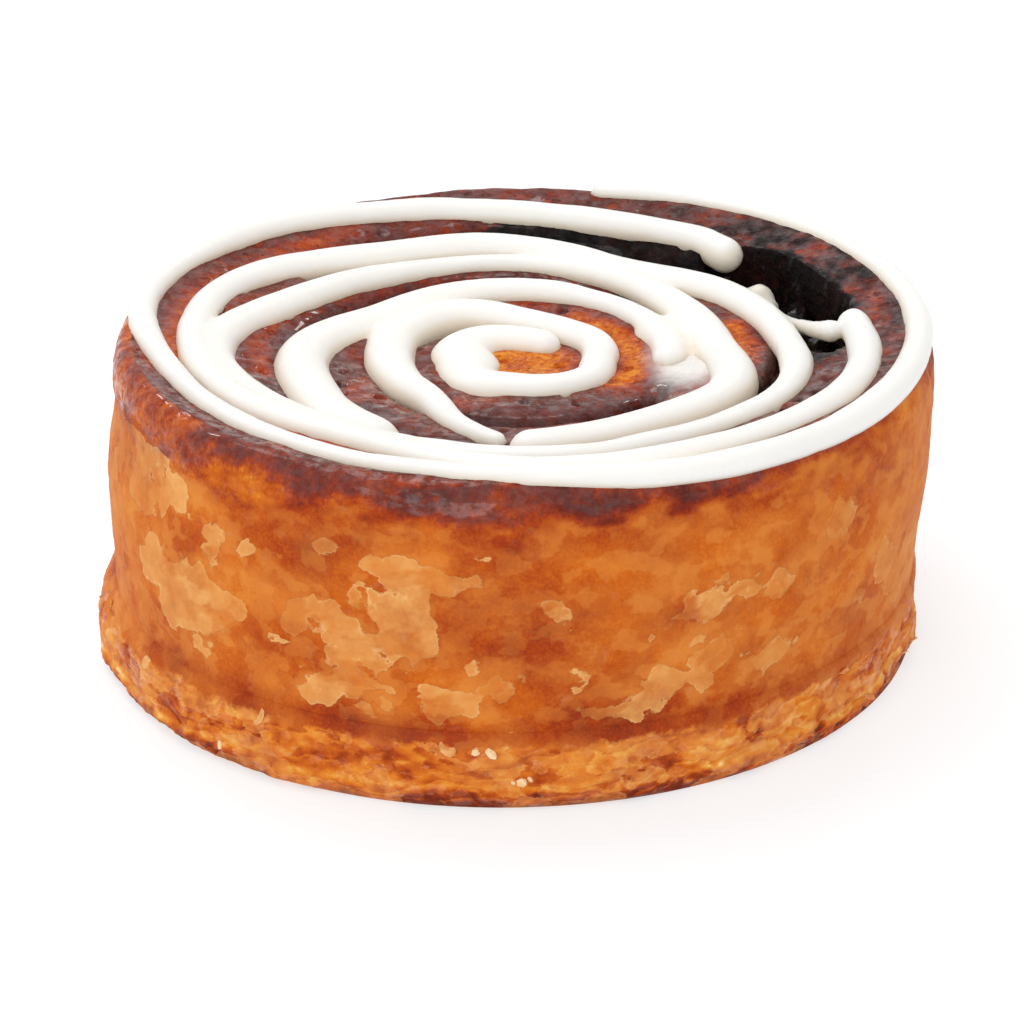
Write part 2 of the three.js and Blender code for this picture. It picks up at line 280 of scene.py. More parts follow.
class NodeSheet:
    """A node tree that is filled one node at a time."""

    def __init__(self, tree: Tree) -> None:
        """Start on an emptied tree."""
        self.tree = tree
        tree.nodes.clear()

    def add(self, kind: str, inputs: dict | None = None, **settings: object) -> bpy.types.Node:
        """Place a node, set its options and feed its inputs.

        Args:
            kind: The node's type.
            inputs: Value or output socket for each input, by name or place.
            **settings: Options of the node itself.

        Returns:
            The node.
        """
        node = self.tree.nodes.new(kind)
        for key, value in settings.items():
            setattr(node, key, value)
        for key, value in (inputs or {}).items():
            self.feed(node.inputs[key], value)
        return node

    def feed(self, socket: Socket, value: object) -> None:
        """Link an output to an input, or set the input's own value.

        Args:
            socket: The input.
            value: An output socket or a plain value.
        """
        if isinstance(value, Socket):
            self.tree.links.new(value, socket)
        elif isinstance(value, tuple) and len(value) == 3 and socket.type == "RGBA":
            socket.default_value = (*value, 1.0)
        else:
            socket.default_value = value

    def attribute(self, name: str) -> Socket:
        """Value of one of the piece's own attributes."""
        return self.add("ShaderNodeAttribute", attribute_name=name).outputs["Fac"]

    def named(self, name: str) -> Socket:
        """Value of one of the points' attributes, in a Geometry Nodes tree."""
        given = self.add("GeometryNodeInputNamedAttribute", {"Name": name}, data_type="FLOAT")
        return given.outputs["Attribute"]

    def noise(self, place: object, scale: object, detail: float, roughness: float = 0.5) -> Socket:
        """Smooth noise between 0 and 1."""
        given = {"Vector": place, "Scale": scale, "Detail": detail, "Roughness": roughness}
        return self.add("ShaderNodeTexNoise", given).outputs["Fac"]

    def math(self, operation: str, a: object, b: object = 0.0, clamp: bool = False) -> Socket:
        """Result of a sum on two values."""
        return self.add("ShaderNodeMath", {0: a, 1: b}, operation=operation, use_clamp=clamp).outputs[0]

    def span(self, value: object, low: float, high: float, to_low: float, to_high: float) -> Socket:
        """A value carried from one range to another, held at its ends."""
        given = {"Value": value, "From Min": low, "From Max": high, "To Min": to_low, "To Max": to_high}
        return self.add("ShaderNodeMapRange", given).outputs["Result"]

    def mix(self, share: object, a: object, b: object) -> Socket:
        """Mix two colours. The node has several sockets of one name, so they go by place.

        Args:
            share: How much of the second colour there is.
            a: The first colour.
            b: The second colour.

        Returns:
            The mixed colour.
        """
        node = self.add("ShaderNodeMix", data_type="RGBA")
        for place, value in ((0, share), (6, a), (7, b)):
            self.feed(node.inputs[place], value)
        return node.outputs[2]

    def group(self, tree: Tree, inputs: dict) -> bpy.types.Node:
        """Place a shared shader group with its own values."""
        return self.add("ShaderNodeGroup", inputs, node_tree=tree)

    def end_shape(self, shape: Socket, finish: Socket) -> Tree:
        """End a Geometry Nodes tree with a real mesh in its finish.

        Args:
            shape: The finished shape, with instances or none.
            finish: The finish that it takes.

        Returns:
            The tree.
        """
        whole = self.add("GeometryNodeRealizeInstances", {"Geometry": shape}).outputs["Geometry"]
        dressed = self.add("GeometryNodeSetMaterial", {"Geometry": whole, "Material": finish})
        self.add("NodeGroupOutput", {"Geometry": dressed.outputs["Geometry"]})
        return self.tree


class SocketKind(Enum):
    """Kinds of socket that the trees use."""

    VALUE = "NodeSocketFloat"
    WHOLE = "NodeSocketInt"
    COLOUR = "NodeSocketColor"
    VECTOR = "NodeSocketVector"
    SHAPE = "NodeSocketGeometry"
    FINISH = "NodeSocketMaterial"


Sockets = dict[str, SocketKind]


class TreeKind(Enum):
    """Kinds of node tree."""

    SHADER = "ShaderNodeTree"
    SHAPE = "GeometryNodeTree"


def new_tree(name: str, kind: TreeKind, takes: Sockets, gives: Sockets) -> NodeSheet:
    """Make a node group with named sockets.

    Args:
        name: Name of the group.
        kind: Kind of tree.
        takes: Inputs by name.
        gives: Outputs by name.

    Returns:
        The empty sheet of the group.
    """
    tree = bpy.data.node_groups.new(name, kind.value)
    for side, sockets in (("INPUT", takes), ("OUTPUT", gives)):
        for label, socket in sockets.items():
            tree.interface.new_socket(label, in_out=side, socket_type=socket.value)
    return NodeSheet(tree)


class SharedEffects:
    """Shader groups that several finishes use."""

    def __init__(self) -> None:
        """Build every group once."""
        self.uneven_tint = self._uneven_tint()
        self.ragged_edge = self._ragged_edge()
        self.crumb_grain = self._crumb_grain()

    @staticmethod
    def _uneven_tint() -> Tree:
        """Two colours in soft uneven patches.

        Returns:
            The group.
        """
        takes = {
            "Vector": SocketKind.VECTOR, "Scale": SocketKind.VALUE, "Contrast": SocketKind.VALUE,
            "Light": SocketKind.COLOUR, "Dark": SocketKind.COLOUR,
        }
        sheet = new_tree("uneven_tint", TreeKind.SHADER, takes, {"Colour": SocketKind.COLOUR})
        given = sheet.add("NodeGroupInput").outputs
        centred = sheet.math("SUBTRACT", sheet.noise(given["Vector"], given["Scale"], 4.0, 0.6), 0.5)
        share = sheet.math("ADD", sheet.math("MULTIPLY", centred, given["Contrast"]), 0.5, clamp=True)
        sheet.add("NodeGroupOutput", {"Colour": sheet.mix(share, given["Dark"], given["Light"])})
        return sheet.tree

    @staticmethod
    def _ragged_edge() -> Tree:
        """A soft field turned into a mask with a torn edge.

        Returns:
            The group.
        """
        takes = {
            "Vector": SocketKind.VECTOR, "Field": SocketKind.VALUE, "Scale": SocketKind.VALUE,
            "Rag": SocketKind.VALUE, "Softness": SocketKind.VALUE,
        }
        sheet = new_tree("ragged_edge", TreeKind.SHADER, takes, {"Mask": SocketKind.VALUE})
        given = sheet.add("NodeGroupInput").outputs
        centred = sheet.math("SUBTRACT", sheet.noise(given["Vector"], given["Scale"], 5.0, 0.65), 0.5)
        field_torn = sheet.math("ADD", given["Field"], sheet.math("MULTIPLY", centred, given["Rag"]))
        step = sheet.math("DIVIDE", sheet.math("SUBTRACT", field_torn, 0.5), given["Softness"])
        sheet.add("NodeGroupOutput", {"Mask": sheet.math("ADD", step, 0.5, clamp=True)})
        return sheet.tree

    @staticmethod
    def _crumb_grain() -> Tree:
        """Fine grain with round pores, as a height.

        Returns:
            The group.
        """
        takes = {
            "Vector": SocketKind.VECTOR, "Grain Scale": SocketKind.VALUE,
            "Pore Scale": SocketKind.VALUE, "Pore Depth": SocketKind.VALUE,
        }
        sheet = new_tree("crumb_grain", TreeKind.SHADER, takes, {"Height": SocketKind.VALUE})
        given = sheet.add("NodeGroupInput").outputs
        grain = sheet.noise(given["Vector"], given["Grain Scale"], 4.0)
        cells = sheet.add("ShaderNodeTexVoronoi", {"Vector": given["Vector"], "Scale": given["Pore Scale"]})
        pore = sheet.span(cells.outputs["Distance"], 0.1, 0.45, -1.0, 0.0)
        height = sheet.math("ADD", grain, sheet.math("MULTIPLY", pore, given["Pore Depth"]))
        sheet.add("NodeGroupOutput", {"Height": height})
        return sheet.tree


class Finish:
    """Base of the finishes: a material with one shader and a bump."""

    name = "finish"

    def __init__(self, effects: SharedEffects) -> None:
        """Make the material and let the finish fill it.

        Args:
            effects: The shared shader groups.
        """
        self.effects = effects
        self.material = bpy.data.materials.new(self.name)
        self.material.use_nodes = True
        self.sheet = NodeSheet(self.material.node_tree)
        self.place = self.sheet.add("ShaderNodeTexCoord").outputs["Object"]
        self.shader = self.sheet.add("ShaderNodeBsdfPrincipled")
        self.sheet.add("ShaderNodeOutputMaterial", {"Surface": self.shader.outputs["BSDF"]})
        self.fill()

    def fill(self) -> None:
        """Set the shader's sockets."""
        raise NotImplementedError

    def set(self, **values: object) -> None:
        """Set or link sockets of the shader, with _ for a space in their names."""
        for key, value in values.items():
            self.sheet.feed(self.shader.inputs[key.replace("_", " ")], value)

    def stretched(self, by: Triple) -> Socket:
        """The piece's own coordinates, scaled along each axis."""
        node = self.sheet.add("ShaderNodeVectorMath", {0: self.place, 1: by}, operation="MULTIPLY")
        return node.outputs["Vector"]

    def noise(self, scale: float, detail: float, roughness: float, place: Socket | None = None) -> Socket:
        """Smooth noise between 0 and 1, on the piece's own coordinates unless others are given."""
        return self.sheet.noise(self.place if place is None else place, scale, detail, roughness)

    def swing(self, value: object, amount: float) -> Socket:
        """A value between 0 and 1 as a swing about 0."""
        return self.sheet.math("MULTIPLY", self.sheet.math("SUBTRACT", value, 0.5), amount)

    def total(self, first: object, *others: object) -> Socket:
        """Sum of values, held between 0 and 1.

        Args:
            first: One value.
            *others: The values to add to it.

        Returns:
            The sum.
        """
        for other in others:
            first = self.sheet.math("ADD", first, other)
        return self.sheet.math("ADD", first, 0.0, clamp=True)

    def product(self, first: object, *others: object) -> Socket:
        """Product of values.

        Args:
            first: One value.
            *others: The values to multiply it by.

        Returns:
            The product.
        """
        for other in others:
            first = self.sheet.math("MULTIPLY", first, other)
        return first

    def cells(self, place: Socket, scale: float, wander: Triple) -> tuple[Socket, Socket, Socket, Socket]:
        """Cells with wandering edges.

        Args:
            place: Coordinates to read.
            scale: Cells to a metre.
            wander: Scale and detail of the noise that pushes the edges about, and how far, in metres.

        Returns:
            Distance from a cell's middle, two chance values for each cell, and the pushed coordinates.
        """
        sheet = self.sheet
        given = {"Vector": place, "Scale": wander[0], "Detail": wander[1]}
        push = sheet.add("ShaderNodeTexNoise", given).outputs["Color"]
        shift = {0: push, 1: (wander[2],) * 3, 2: place}
        bent = sheet.add("ShaderNodeVectorMath", shift, operation="MULTIPLY_ADD").outputs["Vector"]
        cell = sheet.add("ShaderNodeTexVoronoi", {"Vector": bent, "Scale": scale}).outputs
        chance = sheet.add("ShaderNodeSeparateColor", {"Color": cell["Color"]}).outputs
        return cell["Distance"], chance["Green"], chance["Blue"], bent

    def pits(self, scale: float, least: float, largest: float) -> tuple[Socket, Socket]:
        """Open pits of uneven size and shape.

        Args:
            scale: Cells to a metre, each with one pit or none.
            least: Chance from which a cell holds a pit.
            largest: Radius of the largest pit, in cells.

        Returns:
            A mask of the pits, and a chance value for each pit.
        """
        away, chance, tone, _ = self.cells(self.place, scale, (620.0, 2.0, 0.0014))
        size = self.sheet.span(chance, least, 1.0, 0.0, largest)
        return self.sheet.span(self.sheet.math("SUBTRACT", size, away), 0.0, 0.06, 0.0, 1.0), tone

    def shards(self, scale: float, ragged: float) -> tuple[Socket, Socket]:
        """Torn thin plates of crust, wider than tall.

        Args:
            scale: Plates to a metre.
            ragged: How far their edges wander, in metres.

        Returns:
            A chance value for each plate, and the distance from its edge.
        """
        _, chance, _, bent = self.cells(self.stretched((1.0, 1.0, 1.7)), scale, (2.2 * scale, 3.0, ragged))
        given = {"Vector": bent, "Scale": scale}
        edge = self.sheet.add("ShaderNodeTexVoronoi", given, feature="DISTANCE_TO_EDGE")
        return chance, edge.outputs["Distance"]

    def tint(self, scale: float, contrast: float, light: Colour, dark: Colour) -> Socket:
        """Two colours in uneven patches."""
        given = {"Vector": self.place, "Scale": scale, "Contrast": contrast, "Light": light, "Dark": dark}
        return self.sheet.group(self.effects.uneven_tint, given).outputs["Colour"]

    def torn(self, soft: object, scale: float, rag: float, softness: float) -> Socket:
        """A mask with a torn edge from a soft field."""
        given = {"Vector": self.place, "Field": soft, "Scale": scale, "Rag": rag, "Softness": softness}
        return self.sheet.group(self.effects.ragged_edge, given).outputs["Mask"]

    def grain(self, scale: float, pore_scale: float, depth: float) -> Socket:
        """Height of a fine porous grain."""
        given = {"Vector": self.place, "Grain Scale": scale, "Pore Scale": pore_scale, "Pore Depth": depth}
        return self.sheet.group(self.effects.crumb_grain, given).outputs["Height"]

    def bump(self, height: object, strength: float, distance: float) -> None:
        """Lay a height on the shader's normal."""
        given = {"Strength": strength, "Distance": distance, "Height": height}
        self.set(Normal=self.sheet.add("ShaderNodeBump", given).outputs["Normal"])


class BakedDough(Finish):
    """Glazed laminated dough, from pale flakes to a dark caramelised shoulder."""

    name = "baked_dough"
    bake_ramp = (
        (0.00, srgb(224, 142, 48)), (0.20, srgb(202, 100, 22)), (0.40, srgb(164, 60, 16)),
        (0.52, srgb(128, 42, 20)), (0.64, srgb(90, 34, 26)), (0.80, srgb(44, 18, 16)), (1.00, srgb(6, 2, 2)),
    )
    golden_patches = ((140.0, 0.25, 0.42), (290.0, 0.06, 0.36))
    flake_edge = (620.0, 0.55, 0.05)
    large_pits = (520.0, 0.35, 0.44)
    small_pits = (1000.0, 0.2, 0.46)

    def ramp(self, value: object, stops: tuple[tuple[float, Colour], ...]) -> Socket:
        """Colour of a value on a ramp.

        Args:
            value: The value.
            stops: Places and colours of the ramp's stops.

        Returns:
            The colour.
        """
        node = self.sheet.add("ShaderNodeValToRGB", {"Fac": value})
        elements = node.color_ramp.elements
        for i, (at, colour) in enumerate(stops):
            stop = elements[i] if i < 2 else elements.new(at)
            stop.position = at
            stop.color = (*colour, 1.0)
        return node.outputs["Color"]

    def golden_share(self, bake: Socket) -> Socket:
        """Share of the golden patches on a lightly baked crust."""
        return self.sheet.span(bake, 0.28, 0.45, 1.0, 0.0)

    def crust_colour(self, bake: Socket, golden: Socket) -> Socket:
        """Colour of the plain crust, in soft clouds.

        Args:
            bake: How dark the crust is baked.
            golden: Share of the golden patches.

        Returns:
            The colour.
        """
        sheet = self.sheet
        flat = self.stretched((1.0, 1.0, 1.3))
        cloud = self.swing(self.noise(110.0, 5.0, 0.55, flat), 0.5)
        bits = self.swing(self.noise(420.0, 4.0, 0.6), 0.22)
        dust = self.swing(self.noise(2600.0, 3.0, 0.6), 0.26)
        colour = self.ramp(self.total(bake, cloud, bits, dust), self.bake_ramp)
        for scale, softness, amount in self.golden_patches:
            soft = sheet.math("SUBTRACT", self.noise(scale, 2.0, 0.5, flat), 0.03)
            patch = self.torn(soft, 700.0, 0.24, softness)
            colour = sheet.mix(self.product(patch, golden, amount), colour, srgb(222, 140, 62))
        specks = self.product(self.pits(900.0, 0.72, 0.15)[0], golden, 0.55)
        return sheet.mix(specks, colour, srgb(116, 40, 14))

    def streaked(self, bake: Socket, porous: Socket) -> Socket:
        """Bake of the crust with streaks and crumb in its porous parts.

        Args:
            bake: How dark the crust is baked.
            porous: How porous it is.

        Returns:
            The uneven bake.
        """
        coarse = self.swing(self.noise(260.0, 5.0, 0.68), 0.6)
        streak = self.sheet.math("ADD", coarse, self.swing(self.noise(760.0, 4.0, 0.7), 0.5))
        streak = self.product(streak, porous, self.sheet.span(porous, 0.8, 1.0, 1.0, 0.55))
        crumb = self.swing(self.noise(1250.0, 4.0, 0.62), 1.0)
        crumb = self.product(crumb, porous, self.sheet.span(bake, 0.26, 0.46, 1.0, 0.1))
        return self.total(bake, streak, crumb)

    def flaked(self, colour: Socket, mask: Socket, fine: Socket) -> Socket:
        """Lay the pale flakes and their lit lips over the crust.

        Args:
            colour: Colour of the crust.
            mask: Where the flakes are.
            fine: Fine noise.

        Returns:
            The colour.
        """
        sheet = self.sheet
        flake, tone = sheet.attribute("flake"), sheet.attribute("flake_tone")
        uneven = self.noise(230.0, 4.0, 0.6)
        pale = sheet.mix(tone, srgb(210, 128, 52), srgb(235, 176, 104))
        pale = sheet.mix(sheet.span(fine, 0.35, 0.7, 0.0, 0.5), pale, srgb(212, 126, 50))
        thin = self.product(sheet.span(tone, 0.3, 1.0, 0.35, 0.8), sheet.span(uneven, 0.34, 0.56, 0.5, 1.0))
        colour = sheet.mix(self.product(mask, thin), colour, pale)
        inner = self.torn(sheet.math("SUBTRACT", flake, 0.06), *self.flake_edge)
        lip = sheet.math("SUBTRACT", mask, inner)
        lip = self.product(lip, sheet.span(uneven, 0.4, 0.6, 0.0, 0.45), tone)
        return sheet.mix(lip, colour, srgb(248, 204, 140))

    def plum_skin_and_painted_sheen(self, colour: Socket, bake: Socket, glaze: Socket) -> Socket:
        """Lay torn plum skin over the glazed crust: partly the glaze's own plum tone, partly a painted sheen
        of the white surroundings on the glossiest crust.

        Args:
            colour: Colour of the crust.
            bake: How dark the crust is baked.
            glaze: How glazed it is.

        Returns:
            The colour.
        """
        sheet = self.sheet
        skin = self.torn(sheet.math("ADD", self.noise(130.0, 3.0, 0.55), 0.02), 520.0, 0.5, 0.2)
        glazed = sheet.span(glaze, 0.45, 0.8, 0.0, 0.6)
        skin = self.product(skin, glazed, sheet.span(bake, 0.3, 0.5, 0.0, 1.0))
        # The grey plum lifts the dark glossy crust: partly its own tone, partly a painted sheen.
        return sheet.mix(skin, colour, srgb(100, 54, 50))

    def pitted(self, colour: Socket, bake: Socket, pit: Socket, chance: Socket) -> Socket:
        """Colour the pits, each after its own chance: partly the crumb's own red, partly painted shade that
        darkens them on pale or dark crust.

        Args:
            colour: Colour of the crust.
            bake: How dark the crust is baked.
            pit: Where the pits are.
            chance: A chance value for each pit.

        Returns:
            The colour.
        """
        sheet = self.sheet
        inside = sheet.mix(chance, srgb(78, 22, 12), srgb(158, 60, 24))
        # On pale crumb the pits turn dark red: painted shade inside them.
        inside = sheet.mix(sheet.span(bake, 0.2, 0.42, 0.85, 0.0), inside, srgb(126, 44, 10))
        inside = sheet.mix(sheet.span(bake, 0.68, 0.85, 0.0, 0.95), inside, srgb(20, 6, 5))
        return sheet.mix(self.product(pit, sheet.span(bake, 0.2, 0.42, 0.5, 0.8)), colour, inside)

    def fill(self) -> None:
        """Mix the bake, the flakes, the pores and the films of icing."""
        sheet = self.sheet
        fields = ("bake", "flake", "porous", "film", "glaze")
        bake, flake, porous, film, glaze = (sheet.attribute(name) for name in fields)
        fine = self.noise(620.0, 5.0, 0.62)
        golden = self.product(sheet.span(porous, 0.0, 0.4, 1.0, 0.0), self.golden_share(bake))
        mask = self.torn(flake, *self.flake_edge)
        colour = self.crust_colour(self.streaked(bake, porous), golden)
        colour = self.plum_skin_and_painted_sheen(self.flaked(colour, mask, fine), bake, glaze)

        patchy = sheet.span(self.noise(150.0, 3.0, 0.6), 0.36, 0.52, 0.25, 1.0)
        patchy = self.product(patchy, sheet.span(porous, 0.55, 1.0, 0.0, 1.0))
        large, large_tone = self.pits(*self.large_pits)
        small, small_tone = self.pits(*self.small_pits)
        large, small = self.product(large, patchy), self.product(small, patchy)
        colour = self.pitted(colour, bake, small, small_tone)
        colour = self.pitted(colour, bake, large, large_tone)
        veil = self.torn(film, 520.0, 0.5, 0.9)
        sugar = sheet.mix(veil, srgb(196, 180, 178), srgb(242, 238, 233))
        colour = sheet.mix(self.product(veil, 0.9), colour, sugar)
        self.set(Base_Color=colour, Roughness=sheet.span(glaze, 0.0, 1.0, 0.6, 0.32))

        closed = sheet.span(sheet.math("MAXIMUM", large, small), 0.0, 1.0, 1.0, 0.2)
        broken = self.noise(700.0, 4.0, 0.7, self.stretched((1.0, 1.0, 1.6)))
        broken = sheet.span(broken, 0.41, 0.6, 0.08, 1.2)
        self.set(Coat_Weight=self.product(glaze, broken, closed))
        self.set(Coat_Roughness=0.07, Coat_IOR=1.45, Specular_IOR_Level=0.07)

        rough = self.product(self.noise(700.0, 4.0, 0.5), 0.6)
        height = sheet.math("ADD", rough, self.product(mask, 0.25))
        wet = sheet.math("ADD", self.noise(430.0, 4.0, 0.6), self.product(fine, 0.5))
        bare = sheet.span(film, 0.1, 0.7, 1.0, 0.1)
        wet = self.product(wet, sheet.span(porous, 0.0, 1.0, 0.3, 2.6), bare)
        height = sheet.math("ADD", height, wet)
        height = sheet.math("SUBTRACT", height, self.product(large, bare))
        self.bump(height, 0.7, 0.0005)


class FlakyCrust(BakedDough):
    """Flaky crust of the foot: golden clumps and blisters, brown in the layers below them."""

    name = "flaky_crust"
    crust_ramp = (
        (0.00, srgb(116, 38, 10)), (0.24, srgb(174, 70, 14)), (0.44, srgb(208, 106, 26)),
        (0.64, srgb(224, 134, 42)), (0.84, srgb(238, 170, 78)), (1.00, srgb(255, 218, 150)),
    )

    def fill(self) -> None:
        """Mix the golden foot into the wall's crust along a ragged line."""
        sheet = self.sheet
        # The foot's tone carries painted shade in the gaps, a painted shadow along the floor and a painted
        # highlight on the ledge, over the crust's own layers.
        bake, edge, foot = (sheet.attribute(name) for name in ("bake", "foot_tone_and_painted_light", "foot"))
        clumps = self.noise(130.0, 4.0, 0.6)
        bits = self.noise(620.0, 5.0, 0.68)
        large, large_edge = self.shards(165.0, 0.005)
        small, small_edge = self.shards(480.0, 0.002)
        swings = ((clumps, 0.5), (bits, 0.5), (large, 0.22), (small, 0.1))
        tones = (self.swing(value, amount) for value, amount in swings)
        golden = self.ramp(self.total(edge, *tones), self.crust_ramp)
        clear = self.product(sheet.span(large, 0.5, 0.7, 0.0, 0.3), sheet.span(bits, 0.3, 0.6, 0.4, 1.0))
        golden = sheet.mix(clear, golden, srgb(222, 158, 94))
        lit = sheet.span(large_edge, 0.0, 0.05, 1.0, 0.0)
        lit = self.product(lit, sheet.span(bits, 0.45, 0.6, 0.0, 0.2))
        golden = sheet.mix(lit, golden, srgb(252, 206, 140))
        wall = self.crust_colour(bake, self.golden_share(bake))
        there = self.torn(foot, 340.0, 1.3, 0.2)
        self.set(Base_Color=sheet.mix(there, wall, golden), Roughness=sheet.span(bits, 0.3, 0.7, 0.4, 0.62))
        shiny = sheet.span(small, 0.62, 0.8, 0.0, 0.5)
        shiny = self.product(shiny, sheet.span(small_edge, 0.02, 0.1, 0.0, 1.0))
        self.set(Coat_Weight=self.product(there, shiny))
        self.set(Specular_IOR_Level=0.1, Coat_Roughness=0.15)
        plates = sheet.math("ADD", self.product(large, 0.5), self.product(small, 0.35))
        height = sheet.math("ADD", plates, self.product(bits, 0.9))
        self.bump(self.product(height, sheet.span(foot, 0.25, 0.75, 0.0, 1.0)), 0.6, 0.0006)


class FruitFilling(Finish):
    """Dark glossy fruit filling."""

    name = "fruit_filling"

    def fill(self) -> None:
        """Set a near black glossy body with small lumps."""
        self.set(Base_Color=self.tint(300.0, 2.0, srgb(24, 7, 6), srgb(6, 2, 2)), Roughness=0.25)
        wet = self.sheet.span(self.noise(420.0, 4.0, 0.6), 0.5, 0.62, 0.03, 1.0)
        self.set(Coat_Weight=wet, Coat_Roughness=0.06, Coat_IOR=1.45, Specular_IOR_Level=0.05)
        self.bump(self.grain(520.0, 330.0, 0.5), 0.9, 0.001)


class SugarIcing(Finish):
    """Thick white sugar icing, creamier where it runs thin."""

    name = "sugar_icing"

    def fill(self) -> None:
        """Set a soft white body with a satin skin."""
        sheet = self.sheet
        thin = self.torn(sheet.attribute("thin"), 500.0, 0.3, 1.0)
        white = self.tint(140.0, 1.2, srgb(247, 243, 237), srgb(244, 239, 230))
        colour = sheet.mix(sheet.math("MULTIPLY", thin, 0.5), white, srgb(236, 214, 184))
        self.set(Base_Color=colour, Roughness=sheet.span(self.noise(320.0, 3.0, 0.5), 0.3, 0.7, 0.36, 0.5))
        self.set(Subsurface_Weight=0.7, Subsurface_Scale=0.005, Subsurface_Radius=(1.0, 0.92, 0.8))
        self.set(Coat_Weight=0.12, Coat_Roughness=0.25)
        self.bump(self.noise(500.0, 4.0, 0.5), 0.15, 0.0004)


class LooseFlake(Finish):
    """Loose golden flakes and crumbs of the crust."""

    name = "loose_flake"

    def fill(self) -> None:
        """Set a dry golden body that varies from flake to flake."""
        self.set(Base_Color=self.tint(480.0, 3.5, srgb(246, 190, 116), srgb(204, 116, 50)), Roughness=0.6)
        self.set(Subsurface_Weight=0.1, Subsurface_Scale=0.001)
        self.bump(self.grain(1500.0, 900.0, 0.4), 0.4, 0.0003)


class PaleCrumb(Finish):
    """Small dry crumbs of icing and sugar."""

    name = "pale_crumb"

    def fill(self) -> None:
        """Set a dry off-white body."""
        self.set(Base_Color=self.tint(700.0, 2.5, srgb(252, 232, 196), srgb(234, 178, 110)), Roughness=0.6)
        self.bump(self.grain(1800.0, 900.0, 0.4), 0.4, 0.0003)


class PaleFloor(Finish):
    """Plain white studio floor."""

    name = "pale_floor"

    def fill(self) -> None:
        """Set a matt white floor with a little light of its own."""
        self.set(Base_Color=(0.395, 0.415, 0.425), Roughness=0.9)
        self.set(Emission_Color=(1.0, 1.0, 1.0), Emission_Strength=0.62)


def add_values(mesh: bpy.types.Mesh, name: str, numbers: Array) -> None:
    """Give a mesh an attribute with a value for each point."""
    layer = mesh.attributes.new(name, "FLOAT", "POINT")
    layer.data.foreach_set("value", np.ascontiguousarray(numbers, np.float32).ravel())


def points_of(mesh: bpy.types.Mesh) -> Array:
    """Places of a mesh's points.

    Args:
        mesh: The mesh.

    Returns:
        One row for each point, in millimetres.
    """
    at = np.empty(len(mesh.vertices) * 3, np.float32)
    mesh.vertices.foreach_get("co", at)
    return at.reshape(-1, 3) / MM


def link_piece(name: str, mesh: bpy.types.Mesh) -> Piece:
    """Put a mesh into the scene as a piece at the origin.

    Args:
        name: Name of the piece.
        mesh: Its mesh.

    Returns:
        The object.
    """
    obj = bpy.data.objects.new(name, mesh)
    bpy.context.scene.collection.objects.link(obj)
    return obj


def mesh_object(name: str, places: Array, faces: list, values: dict[str, Array] | None = None) -> Piece:
    """Make a smooth mesh piece with its own attributes.

    Args:
        name: Name of the piece.
        places: Points in millimetres.
        faces: Corner numbers of each face.
        values: A value for each point, by attribute name.

    Returns:
        The object, linked to the scene.
    """
    mesh = bpy.data.meshes.new(name)
    mesh.from_pydata(np.asarray(places, float).reshape(-1, 3) * MM, [], faces)
    for label, numbers in (values or {}).items():
        add_values(mesh, label, numbers)
    mesh.update()
    if mesh.polygons:
        mesh.shade_smooth()
    return link_piece(name, mesh)


def face_outwards(mesh: bpy.types.Mesh) -> None:
    """Turn every face of a closed mesh to the outside.

    Args:
        mesh: The mesh.
    """
    work = bmesh.new()
    work.from_mesh(mesh)
    bmesh.ops.recalc_face_normals(work, faces=work.faces)
    work.to_mesh(mesh)
    work.free()


def settle_nodes(obj: Piece) -> None:
    """Turn the result of an object's modifiers into its plain mesh.

    Args:
        obj: The object.
    """
    graph = bpy.context.evaluated_depsgraph_get()
    mesh = bpy.data.meshes.new_from_object(obj.evaluated_get(graph), depsgraph=graph)
    mesh.name = obj.name
    obj.modifiers.clear()
    obj.data = mesh


def run_nodes(obj: Piece, tree: Tree, values: dict[str, object]) -> None:
    """Run a Geometry Nodes tree on an object and keep the result as its mesh.

    Args:
        obj: Object that carries the tree's input.
        tree: The tree.
        values: Value of each named input.
    """
    modifier = obj.modifiers.new(tree.name, "NODES")
    modifier.node_group = tree
    for item in tree.interface.items_tree:
        if item.item_type == "SOCKET" and item.in_out == "INPUT" and item.name in values:
            modifier[item.identifier] = values[item.name]
    settle_nodes(obj)


def set_in_frame(obj: Piece, node: str | None = None) -> None:
    """Let a piece ride on the body and hide the CAD part that it replaces.

    Args:
        obj: The piece.
        node: CAD node that it replaces, or None for a piece that replaces nothing.
    """
    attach(obj, BODY)
    if node is not None:
        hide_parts(node)


def turned_grid(radius: Array, height: Array, columns: int) -> tuple[Array, Array, Array]:
    """Turn a section round the upright axis.

    Args:
        radius: Radius of each row.
        height: Height of each row.
        columns: Points in each row.

    Returns:
        Radius, angle and height by row and column.
    """
    angle = np.linspace(0.0, 2 * math.pi, columns, endpoint=False)
    r, a = np.meshgrid(radius, angle, indexing="ij")
    return r, a, np.repeat(height[:, None], columns, 1)


def quads_round(low: Array, high: Array) -> list[list[int]]:
    """Faces that join rows of corners to the rows above them, all the way round."""
    corners = [low, np.roll(low, -1, 1), np.roll(high, -1, 1), high]
    return np.stack(corners, -1).reshape(-1, 4).tolist()


def ring_faces(rings: int, count: int) -> list[list[int]]:
    """Faces between closed rings of points, with both ends closed.

    Args:
        rings: Number of rings.
        count: Points in each ring.

    Returns:
        Corner numbers of each face.
    """
    corners = np.arange(rings * count).reshape(rings, count)
    ends = [corners[0, ::-1].tolist(), corners[-1].tolist()]
    return quads_round(corners[:-1], corners[1:]) + ends


class Zone(IntEnum):
    """Zones of the dough's skin, from the base up."""

    BASE = 0
    TUCK = 1
    WALL = 2
    SHOULDER = 3
    TOP = 4


